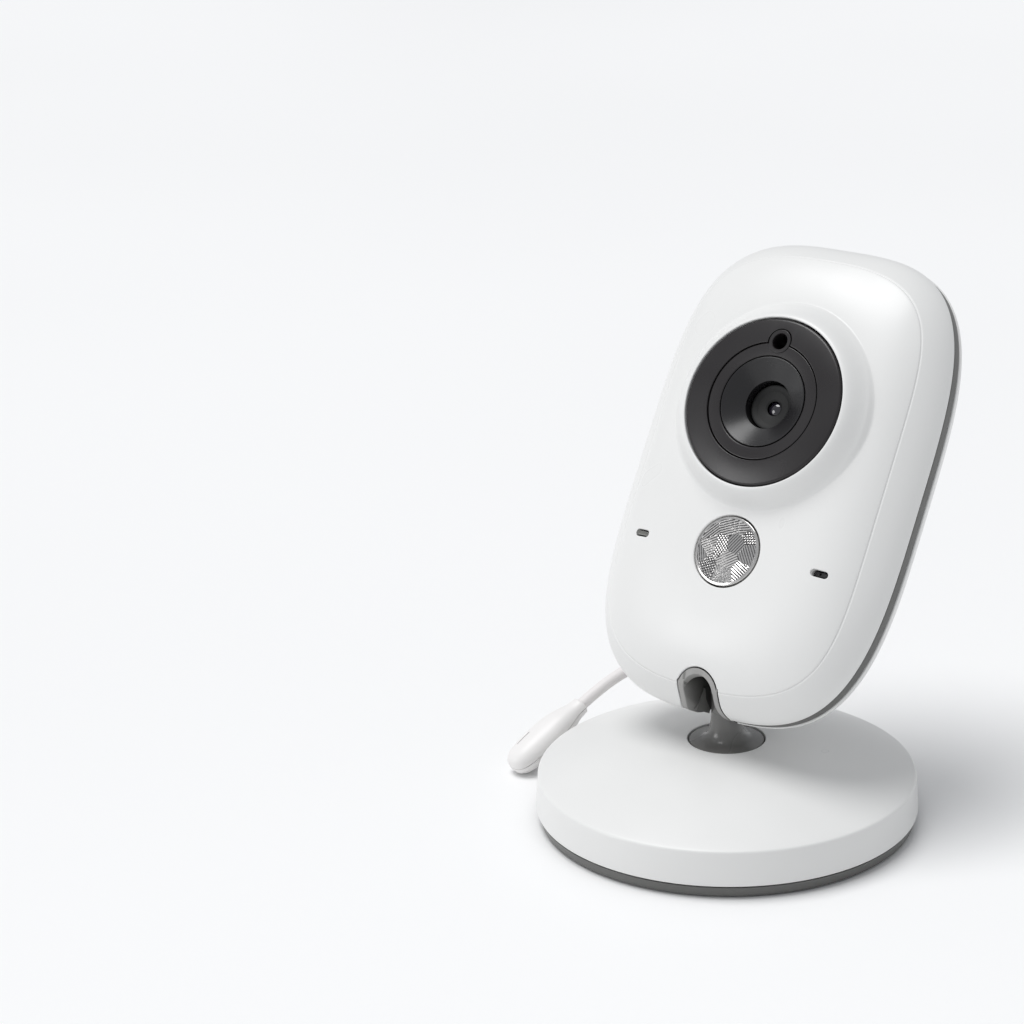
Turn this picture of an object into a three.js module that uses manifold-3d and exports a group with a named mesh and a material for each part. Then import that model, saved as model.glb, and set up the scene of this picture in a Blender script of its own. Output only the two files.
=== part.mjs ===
// Camera unit of a baby monitor: a weighted round base, a swivelling neck, and a tilting camera head
// with a room-temperature probe on a short lead.
// Millimetres, +Z up. The swivel axis is Z, the head faces -Y, and the base stands on z = 0.
import * as THREE from 'three';
import { mergeVertices } from 'three/addons/utils/BufferGeometryUtils.js';
import Module from 'manifold-3d';

const wasm = await Module();
wasm.setup();

// ---- driving dimensions ----
const GAP = 0.3; // clearance between neighbouring pieces
const WALL = 2; // moulded wall thickness

const BASE_FLOOR = 0.4; // the rubber pads stand this proud of the base plate
const BASE_FOOT_RADIUS = 38.5;
const BASE_RADIUS = 39.4;
const BASE_EDGE_Z = 2.8; // where the grey plate meets the white cover
const BASE_SHOULDER_RADIUS = 38.9;
const BASE_SHOULDER_Z = 10.1;
const BASE_TOP_Z = 17.2;
const COLLAR_RADIUS = 8;
const BASE_PAD_CIRCLE = 31;

const PIVOT_Z = 33; // height of the tilt axis
const TILT_BACK = THREE.MathUtils.degToRad(32); // how far the head leans back as made
const KNUCKLE_RADIUS = 3.7;
const STEM_RADIUS = 2.9;
const PIN_RADIUS = 1.2;

// Head measures: x to the side, y from the face (negative) to the back, z up the head.
const PIVOT_Y = -4.2;
const PIVOT_UP = 6.8;
const SEAM = { y: -6, a: 33, b: 49.9, zc: 46.1, m: 3.3, n: 3.5 };
const CREASE = { y: -12.85, a: 28, b: 45.7, zc: 46, m: 2.7, n: 5.4 };
const BACK_RIM = { y: 5.5, a: 27, b: 44.5, zc: 46, m: 2.8, n: 3.6 };
const BAND_DEPTH = 2.4; // grey band between the two shells
const FACE_RISE = 4.6;
const FACE_POWER = 5.4;
const BACK_RISE = 4.5;
const BACK_POWER = 5;

const LENS_Z = 58.8; // middle of the lens ring, up the head
const LENS_RING_RADIUS = 17.5;
const LENS_RING_FRONT = 21.7; // how far the ring stands in front of the head's origin
const MOUND_RADIUS = 22;
const WINDOW_Z = 28.1;
const WINDOW_RADIUS = 7.2;
const SLIT = { x: 21.2, z: 28, length: 3, height: 0.9 };

const ARCH_HALF_WIDTH = 4.7; // outside of the grey liner in the head's foot
const CHANNEL_HALF_WIDTH = 3.5; // inside of it
const ARCH_TOP = 4.05;
const CHANNEL_TOP = 2.9;

const OUTLINE_POINTS = 56;

const FINISHES = {
  white: { color: 0xf1f1ef, roughness: 0.32, metalness: 0 },
  cream: { color: 0xe9e9e5, roughness: 0.4, metalness: 0 },
  grey: { color: 0x6d6b67, roughness: 0.45, metalness: 0 },
  paleGrey: { color: 0x9b9a95, roughness: 0.45, metalness: 0 },
  charcoal: { color: 0x2c292a, roughness: 0.35, metalness: 0 },
  black: { color: 0x111012, roughness: 0.3, metalness: 0 },
  glass: { color: 0x23242a, roughness: 0.05, metalness: 0 },
  silver: { color: 0xa9a6a4, roughness: 0.2, metalness: 0.8 },
  steel: { color: 0xb4b6b8, roughness: 0.35, metalness: 1 },
  iron: { color: 0x55575a, roughness: 0.6, metalness: 0.9 },
  rubber: { color: 0x2b2b2b, roughness: 0.85, metalness: 0 },
  circuit: { color: 0x1f5a38, roughness: 0.5, metalness: 0 },
  amber: { color: 0x4a3f4c, roughness: 0.2, metalness: 0 },
};

// ---- helpers ----
function piece(parent, name, geometry, finish) {
  const mesh = new THREE.Mesh(geometry, new THREE.MeshStandardMaterial(FINISHES[finish]));
  mesh.name = name;
  parent.add(mesh);
  return mesh;
}

// A three.js geometry as a manifold solid.
function solid(geometry) {
  const bare = new THREE.BufferGeometry();
  bare.setAttribute('position', geometry.getAttribute('position').clone());
  if (geometry.index) bare.setIndex(geometry.index.clone());
  const merged = mergeVertices(bare, 1e-4);
  const corners = Array.from(merged.index.array);
  const kept = [];
  for (let i = 0; i < corners.length; i += 3) {
    const [p, q, r] = corners.slice(i, i + 3);
    if (p !== q && q !== r && r !== p) kept.push(p, q, r);
  }
  return new wasm.Manifold(new wasm.Mesh({
    numProp: 3,
    vertProperties: new Float32Array(merged.getAttribute('position').array),
    triVerts: new Uint32Array(kept),
  }));
}

// A manifold solid as a three.js geometry.
function geometryOf(manifold) {
  const mesh = manifold.getMesh();
  const geometry = new THREE.BufferGeometry();
  geometry.setAttribute('position', new THREE.BufferAttribute(new Float32Array(mesh.vertProperties), 3));
  geometry.setIndex(new THREE.BufferAttribute(new Uint32Array(mesh.triVerts), 1));
  geometry.computeVertexNormals();
  return geometry;
}

// The first geometry with the others cut away.
function cut(geometry, ...tools) {
  return geometryOf(tools.reduce((left, tool) => left.subtract(solid(tool)), solid(geometry)));
}

// All the geometries as one solid.
function joined(...geometries) {
  return geometryOf(geometries.map(solid).reduce((left, right) => left.add(right)));
}

// A solid of revolution about Z from [radius, height] points.
function turned(profile, segments = 48) {
  const points = profile.map(([radius, height]) => new THREE.Vector2(radius, height));
  return new THREE.LatheGeometry(points, segments).rotateX(Math.PI / 2);
}

// The same, closed on itself, for a profile that leaves the axis free.
function turnedRing(profile, segments = 48) {
  return turned([...profile, profile[0]], segments);
}

function disc(radius, low, high, segments = 32) {
  return turned([[0, low], [radius, low], [radius, high], [0, high]], segments);
}

function hollowDisc(outer, inner, low, high, segments = 32) {
  return turnedRing([[inner, low], [outer, low], [outer, high], [inner, high]], segments);
}

function block(width, depth, height, x, y, z) {
  return new THREE.BoxGeometry(width, depth, height).translate(x, y, z);
}

// A solid of revolution about Z turned to point at the face, its own z becoming -y.
function facing(geometry, x, z) {
  return geometry.rotateX(Math.PI / 2).translate(x, 0, z);
}

// A shape drawn in x and z, drawn out along y from one depth to another.
function alongY(shape, from, to) {
  const length = to - from;
  const settings = { depth: length, bevelEnabled: false, curveSegments: 8 };
  return new THREE.ExtrudeGeometry(shape, settings).rotateX(Math.PI / 2).translate(0, to, 0);
}

// A shape drawn in y and z, drawn out along x on both sides of the middle.
function alongX(shape, halfWidth) {
  const settings = { depth: 2 * halfWidth, bevelEnabled: false, curveSegments: 12 };
  const axes = new THREE.Matrix4().makeBasis(
    new THREE.Vector3(0, 1, 0),
    new THREE.Vector3(0, 0, 1),
    new THREE.Vector3(1, 0, 0),
  );
  return new THREE.ExtrudeGeometry(shape, settings).applyMatrix4(axes).translate(-halfWidth, 0, 0);
}

function polygon(points) {
  return new THREE.Shape(points.map(([x, y]) => new THREE.Vector2(x, y)));
}

// A slot with round ends, standing at x and z.
function slotShape(x, z, length, height) {
  const radius = height / 2;
  const reach = length / 2 - radius;
  const shape = new THREE.Shape();
  shape.absarc(x + reach, z, radius, -Math.PI / 2, Math.PI / 2, false);
  shape.absarc(x - reach, z, radius, Math.PI / 2, 1.5 * Math.PI, false);
  return shape;
}

// A rounded rectangle standing at x and z.
function plateShape(x, z, width, height, radius) {
  const shape = new THREE.Shape();
  const [dx, dz] = [width / 2 - radius, height / 2 - radius];
  shape.absarc(x + dx, z + dz, radius, 0, Math.PI / 2, false);
  shape.absarc(x - dx, z + dz, radius, Math.PI / 2, Math.PI, false);
  shape.absarc(x - dx, z - dz, radius, Math.PI, 1.5 * Math.PI, false);
  shape.absarc(x + dx, z - dz, radius, 1.5 * Math.PI, 2 * Math.PI, false);
  return shape;
}

// ---- the head's outer form ----
function blend(first, second, share) {
  const keys = ['y', 'a', 'b', 'zc', 'm', 'n'];
  return Object.fromEntries(keys.map((key) => [key, first[key] + (second[key] - first[key]) * share]));
}

// One closed superellipse ring of the head, pulled in on every side by inset.
function ring(form, inset = 0, scale = 1) {
  return Array.from({ length: OUTLINE_POINTS }, (_, i) => {
    const angle = (i / OUTLINE_POINTS) * 2 * Math.PI;
    const [c, s] = [Math.cos(angle), Math.sin(angle)];
    const x = (form.a - inset) * scale * Math.sign(c) * Math.abs(c) ** (2 / form.m);
    const z = (form.b - inset) * scale * Math.sign(s) * Math.abs(s) ** (2 / form.n);
    return new THREE.Vector3(x, form.y, form.zc + z);
  });
}

// Rings from the middle of a face out to its rim: a flat dome whose edge rolls over.
function domeRings(rim, rise, power, inset) {
  const direction = Math.sign(rim.y);
  return [0.35, 0.6, 0.78, 0.88, 0.95, 1].map((scale) => {
    const y = rim.y + direction * (rise * (1 - scale ** power) - inset);
    return ring({ ...rim, y }, inset, scale);
  });
}

// Rings from a rim round the rolled edge to where the shell ends.
function edgeRings(rim, end, inset) {
  return [0.78, 0.56, 0.35, 0.15, 0].map((share) => {
    const form = blend(end, rim, share ** 1.7);
    const y = end.y + (rim.y - Math.sign(rim.y) * inset - end.y) * share;
    return ring({ ...form, y }, inset);
  });
}

// A closed body through a list of rings, with a point closing each end.
function loft(rings) {
  const count = rings[0].length;
  const middle = (points) => points.reduce((sum, p) => sum.add(p), new THREE.Vector3()).divideScalar(count);
  const points = [middle(rings[0]), ...rings.flat(), middle(rings[rings.length - 1])];
  const last = points.length - 1;
  const at = (level, i) => 1 + level * count + (i % count);
  const triangles = [];
  for (let i = 0; i < count; i += 1) {
    triangles.push(0, at(0, i), at(0, i + 1));
    for (let level = 0; level < rings.length - 1; level += 1) {
      triangles.push(at(level, i), at(level + 1, i), at(level, i + 1));
      triangles.push(at(level, i + 1), at(level + 1, i), at(level + 1, i + 1));
    }
    triangles.push(last, at(rings.length - 1, i + 1), at(rings.length - 1, i));
  }
  const geometry = new THREE.BufferGeometry().setFromPoints(points);
  geometry.setIndex(triangles);
  return outward(geometry);
}

// The same body with its faces turned outward, whichever way its rings run.
function outward(geometry) {
  const [p, q, r] = [new THREE.Vector3(), new THREE.Vector3(), new THREE.Vector3()];
  const { position } = geometry.attributes;
  const { array } = geometry.index;
  let volume = 0;
  for (let i = 0; i < array.length; i += 3) {
    p.fromBufferAttribute(position, array[i]);
    q.fromBufferAttribute(position, array[i + 1]);
    r.fromBufferAttribute(position, array[i + 2]);
    volume += p.dot(q.cross(r));
  }
  if (volume < 0) array.reverse();
  geometry.computeVertexNormals();
  return geometry;
}

const FRONT_END = { ...SEAM, y: SEAM.y - GAP / 2 };
const BAND_BACK = SEAM.y + BAND_DEPTH;
const REAR_END = { ...SEAM, y: BAND_BACK + GAP / 2 };

function frontRings(inset) {
  return [...domeRings(CREASE, FACE_RISE, FACE_POWER, inset), ...edgeRings(CREASE, FRONT_END, inset)];
}

function rearRings(inset) {
  return [...domeRings(BACK_RIM, BACK_RISE, BACK_POWER, inset), ...edgeRings(BACK_RIM, REAR_END, inset)];
}

// A shell with an open side: its outer rings, then every other inner one back again.
function shell(rings) {
  const inner = rings(WALL).filter((_, i, all) => i % 2 === 0 || i === all.length - 1);
  return loft([...rings(0), ...inner.reverse()]);
}

// The whole head as one filled body, pulled in by inset.
function headBody(inset) {
  return loft([...frontRings(inset), ...rearRings(inset).reverse()]);
}

// ---- the foot of the head ----
// An upright arch in x and z whose feet flare out at the bottom.
function archShape(halfWidth, top, flare) {
  const shape = new THREE.Shape();
  const footTop = -1.6;
  const footLow = -4.2;
  shape.moveTo(-halfWidth - flare, -12);
  shape.lineTo(halfWidth + flare, -12);
  shape.lineTo(halfWidth + flare, footLow);
  shape.quadraticCurveTo(halfWidth, footLow + 0.9, halfWidth, footTop);
  shape.absarc(0, top - halfWidth, halfWidth, 0, Math.PI, false);
  shape.lineTo(-halfWidth, footTop);
  shape.quadraticCurveTo(-halfWidth, footLow + 0.9, -halfWidth - flare, footLow);
  return shape;
}

// The room that the neck's top swings in.
function knuckleRoom() {
  const side = polygon([
    [-11.6, -12], [-11.6, 3.6], [-8.6, 9.6], [-6, 10.9], [-2.4, 10.9], [0.4, 9.6], [6.4, 4.2], [6.4, -12],
  ]);
  return alongX(side, CHANNEL_HALF_WIDTH);
}

function knuckleHousing() {
  const side = polygon([
    [-12.9, -2], [-12.9, 4.2], [-9.4, 11], [-6.4, 12.4], [-2, 12.4], [1.2, 10.9], [7.8, 4.8], [7.8, -2],
  ]);
  return alongX(side, ARCH_HALF_WIDTH);
}

function pivotBore(radius, halfLength) {
  return disc(radius, -halfLength, halfLength, 24).rotateY(Math.PI / 2).translate(0, PIVOT_Y, PIVOT_UP);
}

function slotLiner() {
  const channel = alongY(archShape(CHANNEL_HALF_WIDTH, CHANNEL_TOP, 1.4), -30, 30);
  const rib = alongX(polygon([[-4.9, -12], [-4.7, 1.4], [-4.2, 1.4], [-2.6, -0.6], [0.4, -3.2], [0.4, -12]]), 0.35);
  rib.translate(-CHANNEL_HALF_WIDTH - 0.1, 0, 0);
  const arch = alongY(archShape(ARCH_HALF_WIDTH, ARCH_TOP, 1.6), -30, 30);
  const outer = solid(arch).add(solid(knuckleHousing())).intersect(solid(headBody(0.05)));
  const hollow = solid(channel).add(solid(knuckleRoom())).add(solid(pivotBore(PIN_RADIUS + GAP, 9)));
  return geometryOf(outer.subtract(hollow).add(solid(rib).intersect(outer)));
}

function linerOpening() {
  return joined(
    alongY(archShape(ARCH_HALF_WIDTH + GAP, ARCH_TOP + GAP, 1.6), -30, 30),
    alongX(polygon([[-13.2, -4], [-13.2, 4.4], [-9.6, 11.3], [-6.5, 12.7], [-1.9, 12.7], [1.4, 11.2],
      [8.1, 5], [8.1, -4]]), ARCH_HALF_WIDTH + GAP),
  );
}

// ---- shells ----
function lensMound() {
  const edge = LENS_RING_RADIUS + GAP;
  return facing(turnedRing([
    [edge, 14.6],
    [MOUND_RADIUS, 15.6],
    [MOUND_RADIUS, 17.1],
    [21.2, 17.7],
    [20, 19.2],
    [19.1, 20.6],
    [18.5, 21.2],
    [edge, 21.3],
  ], 64), 0, LENS_Z);
}

// Hollow posts that the shell screws run in, kept inside the given body.
function screwPosts(from, to, body) {
  const posts = SHELL_SCREWS.map(([x, z]) => facing(disc(2.9, -to, -from, 20), x, z));
  return geometryOf(solid(joined(...posts)).intersect(solid(body)));
}

function frontShell() {
  return cut(
    joined(shell(frontRings), lensMound(), screwPosts(-20, POST_MEET - GAP, headBody(1))),
    ...SHELL_SCREWS.map(([x, z]) => facing(disc(1.2 + GAP, 1.5, 9, 12), x, z)),
    facing(disc(LENS_RING_RADIUS + GAP, 5, 30, 64), 0, LENS_Z),
    facing(disc(WINDOW_RADIUS + GAP, 5, 30, 40), 0, WINDOW_Z),
    alongY(slotShape(-SLIT.x, SLIT.z, SLIT.length + 2 * GAP, SLIT.height + 2 * GAP), -30, -8),
    alongY(slotShape(SLIT.x, SLIT.z, SLIT.length + 2 * GAP, SLIT.height + 2 * GAP), -30, -8),
    linerOpening(),
  );
}

const JACK = { x: 15, z: 24 };
const GLAND = { x: -12, z: 12 };
const BUTTON = { x: 15, z: 36 };
const SPEAKER_Z = 66;
const SHELL_SCREWS = [[-22, 17.5], [22, 17.5], [-20, 82], [20, 82]];
const SCREW_SEAT = 4.6; // depth in the head that the screw heads pull down on
const POST_MEET = -1.5; // depth where the rear and front screw posts face each other

// Sound holes in rings round the middle of the speaker.
function grilleHoles() {
  const holes = [[0, SPEAKER_Z]];
  [[6, 3.2], [12, 6.4]].forEach(([count, radius]) => {
    for (let i = 0; i < count; i += 1) {
      const angle = (i / count) * 2 * Math.PI;
      holes.push([radius * Math.cos(angle), SPEAKER_Z + radius * Math.sin(angle)]);
    }
  });
  return holes.map(([x, z]) => facing(disc(0.8, -20, -3, 10), x, z));
}

function rearShell() {
  return cut(
    joined(shell(rearRings), screwPosts(POST_MEET, 12, headBody(1))),
    ...grilleHoles(),
    ...SHELL_SCREWS.map(([x, z]) => facing(disc(1.2 + GAP, -9, 3, 12), x, z)),
    ...SHELL_SCREWS.map(([x, z]) => facing(disc(1.9 + GAP, -20, -SCREW_SEAT, 16), x, z)),
    facing(disc(4.2 + GAP, -20, -3, 32), JACK.x, JACK.z),
    facing(disc(2.6 + GAP, -20, -3, 24), GLAND.x, GLAND.z),
    facing(disc(3.2 + GAP, -20, -3, 24), BUTTON.x, BUTTON.z),
    linerOpening(),
  );
}

function trimBand() {
  const front = { ...SEAM, y: SEAM.y + GAP / 2 };
  const back = { ...SEAM, y: BAND_BACK - GAP / 2 };
  const wallRings = [ring(front, 0.15), ring(back, 0.15), ring(back, WALL + 0.3), ring(front, WALL + 0.3)];
  const filled = loft(wallRings.slice(0, 2));
  const hole = loft([ring({ ...front, y: front.y - 1 }, WALL + 0.3), ring({ ...back, y: back.y + 1 }, WALL + 0.3)]);
  return cut(filled, hole, linerOpening());
}

// ---- lens assembly, as heights in front of the head's origin ----
const GROOVE_RADIUS = 12.4;
const CONE_RADIUS = 9.4;
const LENS_OPENING = 5.05;
const SENSOR_EYE = { radius: 1.65, boss: 2.4, up: 12.7 };

function lensRing() {
  const front = LENS_RING_FRONT;
  const body = facing(turnedRing([
    [LENS_RING_RADIUS, 13.4],
    [LENS_RING_RADIUS, front - 1.1],
    [LENS_RING_RADIUS - 0.5, front - 0.45],
    [GROOVE_RADIUS, front],
    [GROOVE_RADIUS, 13.4],
  ], 64), 0, LENS_Z);
  return cut(body, facing(disc(SENSOR_EYE.boss + GAP, 5, 30, 24), 0, LENS_Z + SENSOR_EYE.up));
}

function lensDisc() {
  const front = LENS_RING_FRONT - 0.2;
  const body = turnedRing([
    [GROOVE_RADIUS - GAP, 16.6],
    [GROOVE_RADIUS - GAP, front],
    [CONE_RADIUS + GAP, front - 0.1],
    [CONE_RADIUS + GAP, 16.6],
  ], 56);
  const boss = disc(SENSOR_EYE.boss, 16.6, front + 0.15, 24).translate(0, SENSOR_EYE.up, 0);
  const throat = disc(CONE_RADIUS + GAP, 5, 30, 56);
  const eye = disc(SENSOR_EYE.radius, 5, 30, 24).translate(0, SENSOR_EYE.up, 0);
  return facing(cut(joined(body, boss), throat, eye), 0, LENS_Z);
}

function lensCone() {
  const front = LENS_RING_FRONT - 0.3;
  return facing(turnedRing([
    [CONE_RADIUS, front],
    [LENS_OPENING + 0.4, front - 2.4],
    [LENS_OPENING, front - 2.6],
    [LENS_OPENING, front - 7.3],
    [CONE_RADIUS, front - 7.3],
  ], 48), 0, LENS_Z);
}

function lensBarrel() {
  return facing(turnedRing([
    [LENS_OPENING - GAP, 3.6],
    [LENS_OPENING - GAP, 17],
    [4.1, 17],
    [2.2, 15.8],
    [2.2, 3.6],
  ], 32), 0, LENS_Z);
}

function lensGlass() {
  return facing(turned([
    [0, 12.4], [1.9, 12.4], [1.9, 15.6], [1.6, 16.1], [1.1, 16.5], [0.5, 16.7], [0, 16.75],
  ], 28), 0, LENS_Z);
}

function lensHolder() {
  return cut(
    block(13, 3.4, 13, 0, -1.6 - 1.7, LENS_Z),
    facing(disc(LENS_OPENING, 2.4, 12, 32), 0, LENS_Z),
    block(8.6, 4, 8.6, 0, -1, LENS_Z),
  );
}

// ---- electronics ----
const BOARD_Y = 0; // back of the main board

function mainBoard() {
  return alongY(plateShape(0, 49.5, 46, 55, 4), BOARD_Y - 1.3, BOARD_Y);
}

function infraredBoard() {
  return cut(
    facing(disc(15.4, 13.6 - 1, 13.1, 48), 0, LENS_Z),
    facing(disc(7, 5, 30, 32), 0, LENS_Z),
  );
}

function infraredLamp(angle) {
  const body = turned([[0, 13.4], [1.15, 13.4], [1.15, 15.2], [0.8, 15.9], [0, 16.2]], 14);
  body.translate(10.9 * Math.cos(angle), 10.9 * Math.sin(angle), 0);
  return facing(body, 0, LENS_Z);
}

function addHead(parent) {
  piece(parent, 'front_shell', frontShell(), 'white');
  piece(parent, 'rear_shell', rearShell(), 'white');
  piece(parent, 'trim_band', trimBand(), 'grey');
  piece(parent, 'slot_liner', slotLiner(), 'paleGrey');
}

function addLens(parent) {
  piece(parent, 'lens_ring', lensRing(), 'charcoal');
  piece(parent, 'lens_disc', lensDisc(), 'charcoal');
  piece(parent, 'lens_cone', lensCone(), 'charcoal');
  piece(parent, 'lens_barrel', lensBarrel(), 'black');
  piece(parent, 'lens_glass', lensGlass(), 'glass');
  piece(parent, 'lens_holder', lensHolder(), 'black');
  piece(parent, 'image_sensor', block(8, 1.1, 8, 0, BOARD_Y - 2.2, LENS_Z), 'amber');
  const eye = facing(disc(1.35, 13.5, 15.6, 20), 0, LENS_Z + SENSOR_EYE.up);
  piece(parent, 'light_sensor', eye, 'glass');
  piece(parent, 'infrared_board', infraredBoard(), 'circuit');
  for (let i = 0; i < 6; i += 1) {
    const angle = Math.PI / 2 + ((i + 0.5) * Math.PI) / 3;
    piece(parent, `infrared_lamp_${i + 1}`, infraredLamp(angle), 'amber');
  }
}

function addFaceParts(parent) {
  const window = turned([
    [0, 15.4], [WINDOW_RADIUS - 0.6, 15.4], [WINDOW_RADIUS, 15.9], [WINDOW_RADIUS, 17.2],
    [WINDOW_RADIUS - 0.5, 17.5], [3.6, 17.9], [0, 18],
  ], 40);
  piece(parent, 'faceted_window', facing(window, 0, WINDOW_Z), 'silver');
  const holder = hollowDisc(7.2, 5.9, 4, 14.7, 32);
  piece(parent, 'window_holder', facing(holder, 0, WINDOW_Z), 'black');
  piece(parent, 'window_lamp', block(3.2, 1.4, 3.2, 0, BOARD_Y - 2.3, WINDOW_Z), 'amber');
  const guide = alongY(slotShape(-SLIT.x, SLIT.z, SLIT.length, SLIT.height), -16.1, -5);
  piece(parent, 'status_light_guide', guide, 'paleGrey');
  const boot = alongY(slotShape(SLIT.x, SLIT.z, SLIT.length, SLIT.height), -15.6, -12.4);
  piece(parent, 'microphone_seal', boot, 'black');
  const capsule = facing(disc(3, 8.6, 12.1, 24), SLIT.x - 0.6, SLIT.z);
  piece(parent, 'microphone', capsule, 'steel');
}

function addHeadInside(parent) {
  piece(parent, 'main_board', mainBoard(), 'circuit');
  const speaker = turned([[0, 1], [8.5, 1], [8.5, 2.2], [10, 3], [10, 6], [0, 6]], 32);
  piece(parent, 'speaker', facing(speaker, 0, 0).rotateZ(Math.PI).translate(0, 0, SPEAKER_Z), 'black');
  piece(parent, 'antenna_board', block(30, 0.8, 5, 0, 1.8, 82.5), 'circuit');
  const jack = cut(
    facing(disc(4.2, -9.1, -0.3, 28), JACK.x, JACK.z),
    facing(disc(2.7, -12, -2.6, 20), JACK.x, JACK.z),
  );
  const contact = facing(disc(0.65, -8.6, -2, 12), JACK.x, JACK.z);
  piece(parent, 'power_inlet', joined(jack, contact), 'black');
  const button = turned([[0, 4.4], [1.6, 4.4], [1.6, 6.1], [3.2, 6.1], [3.2, 9.7], [2.7, 10.2], [0, 10.4]], 24);
  piece(parent, 'pair_button', facing(button, 0, 0).rotateZ(Math.PI).translate(BUTTON.x, 0, BUTTON.z), 'paleGrey');
  piece(parent, 'pair_switch', block(5, 2.8, 5, BUTTON.x, 1.9, BUTTON.z), 'black');
  SHELL_SCREWS.forEach(([x, z], i) => {
    const screw = cut(
      turned([[0, -7], [1.2, -7], [1.2, 0], [1.9, 0], [1.9, 1.3], [0, 1.3]], 14),
      block(2.4, 0.5, 1.2, 0, 0, 1.3),
      block(0.5, 2.4, 1.2, 0, 0, 1.3),
    );
    const placed = facing(screw, 0, 0).rotateZ(Math.PI).translate(x, SCREW_SEAT + GAP, z);
    piece(parent, `shell_screw_${i + 1}`, placed, 'steel');
  });
}

// ---- tilt joint hardware, lying along x at the pivot ----
function addTiltHardware(parent) {
  const alongPivot = (geometry) => geometry.rotateY(Math.PI / 2).translate(0, PIVOT_Y, PIVOT_UP);
  const pin = turned([
    [0, -7.4], [2.2, -7.4], [2.2, -5.9], [PIN_RADIUS, -5.9], [PIN_RADIUS, 8.6], [0, 8.6],
  ], 20);
  piece(parent, 'tilt_pin', alongPivot(pin), 'steel');
  const washer = (low) => hollowDisc(2.6, PIN_RADIUS + GAP, low, low + 0.5, 24);
  piece(parent, 'tilt_washer_left', alongPivot(washer(-5.55)), 'steel');
  piece(parent, 'tilt_washer_right', alongPivot(washer(5.05)), 'steel');
  const nut = cut(disc(2.8, 5.9, 8.1, 6), disc(PIN_RADIUS + GAP, 5, 9, 20));
  piece(parent, 'tilt_nut', alongPivot(nut), 'steel');
}

// ---- neck ----
function addNeck(parent) {
  const flare = turned([
    [0, 12.4], [4.4, 12.4], [4.4, 15.6], [COLLAR_RADIUS - 0.4, 15.9], [COLLAR_RADIUS - 0.3, 17],
    [6.5, 17.2], [5.1, 17.6], [4.3, 18.3], [3.8, 19.2], [3.45, 20.4], [3.1, 21.6], [STEM_RADIUS, 22.6],
    [STEM_RADIUS, PIVOT_Z], [0, PIVOT_Z],
  ], 40);
  const knuckle = disc(KNUCKLE_RADIUS, -2.9, 2.9, 32).rotateY(Math.PI / 2).translate(0, 0, PIVOT_Z);
  const bore = disc(PIN_RADIUS + GAP, -9, 9, 24).rotateY(Math.PI / 2).translate(0, 0, PIVOT_Z);
  const screwHole = disc(1.1, 5, 15.2, 16);
  piece(parent, 'neck', cut(joined(flare, knuckle), bore, screwHole), 'grey');
}

// ---- base ----
function baseCover() {
  const shoulder = BASE_SHOULDER_Z;
  const dome = (radius) => BASE_TOP_Z - (BASE_TOP_Z - shoulder)
    * ((radius ** 2 - COLLAR_RADIUS ** 2) / (BASE_SHOULDER_RADIUS ** 2 - COLLAR_RADIUS ** 2));
  const outside = [37.6, 30, 20].map((radius) => [radius, dome(radius)]);
  const inside = [20, 30, 36.2].map((radius) => [radius, dome(radius) - WALL]);
  const cover = turnedRing([
    [BASE_RADIUS - WALL, BASE_EDGE_Z],
    [BASE_RADIUS - 0.1, BASE_EDGE_Z],
    [BASE_RADIUS, BASE_EDGE_Z + 0.3],
    [BASE_SHOULDER_RADIUS, shoulder - 0.5],
    [BASE_SHOULDER_RADIUS - 0.4, shoulder],
    ...outside,
    [COLLAR_RADIUS, BASE_TOP_Z],
    [COLLAR_RADIUS, 15.3],
    [4.7, 15.3],
    [4.7, 12.4],
    [8, 12.4],
    ...inside,
    [BASE_SHOULDER_RADIUS - WALL, shoulder - 2.4],
  ], 64);
  const posts = screwPlaces().map(([x, y]) => disc(3, BASE_EDGE_Z, 14.2, 20).translate(x, y, 0));
  const pilots = screwPlaces().map(([x, y]) => disc(0.9 + GAP, 0, 9, 12).translate(x, y, 0));
  return cut(joined(cover, ...posts), ...pilots);
}

function basePlate() {
  const top = BASE_EDGE_Z - GAP;
  const body = turned([
    [0, BASE_FLOOR], [BASE_FOOT_RADIUS, BASE_FLOOR], [BASE_RADIUS - 0.3, top], [0, top],
  ], 64);
  const pockets = padPlaces().map(([x, y]) => disc(5 + GAP, -1, 1.2, 24).translate(x, y, 0));
  const heads = screwPlaces().map(([x, y]) => disc(1.4 + GAP, -1, 1.5, 16).translate(x, y, 0));
  const shanks = screwPlaces().map(([x, y]) => disc(0.9 + GAP, 1, 9, 12).translate(x, y, 0));
  return cut(body, ...pockets, disc(7 + GAP, -1, 1.2, 32), ...heads, ...shanks);
}

function aroundBase(count, radius, start) {
  return Array.from({ length: count }, (_, i) => {
    const angle = start + (i / count) * 2 * Math.PI;
    return [radius * Math.cos(angle), radius * Math.sin(angle)];
  });
}

function padPlaces() {
  return aroundBase(4, BASE_PAD_CIRCLE, Math.PI / 4);
}

function screwPlaces() {
  return aroundBase(3, 12.5, Math.PI / 2);
}

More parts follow.
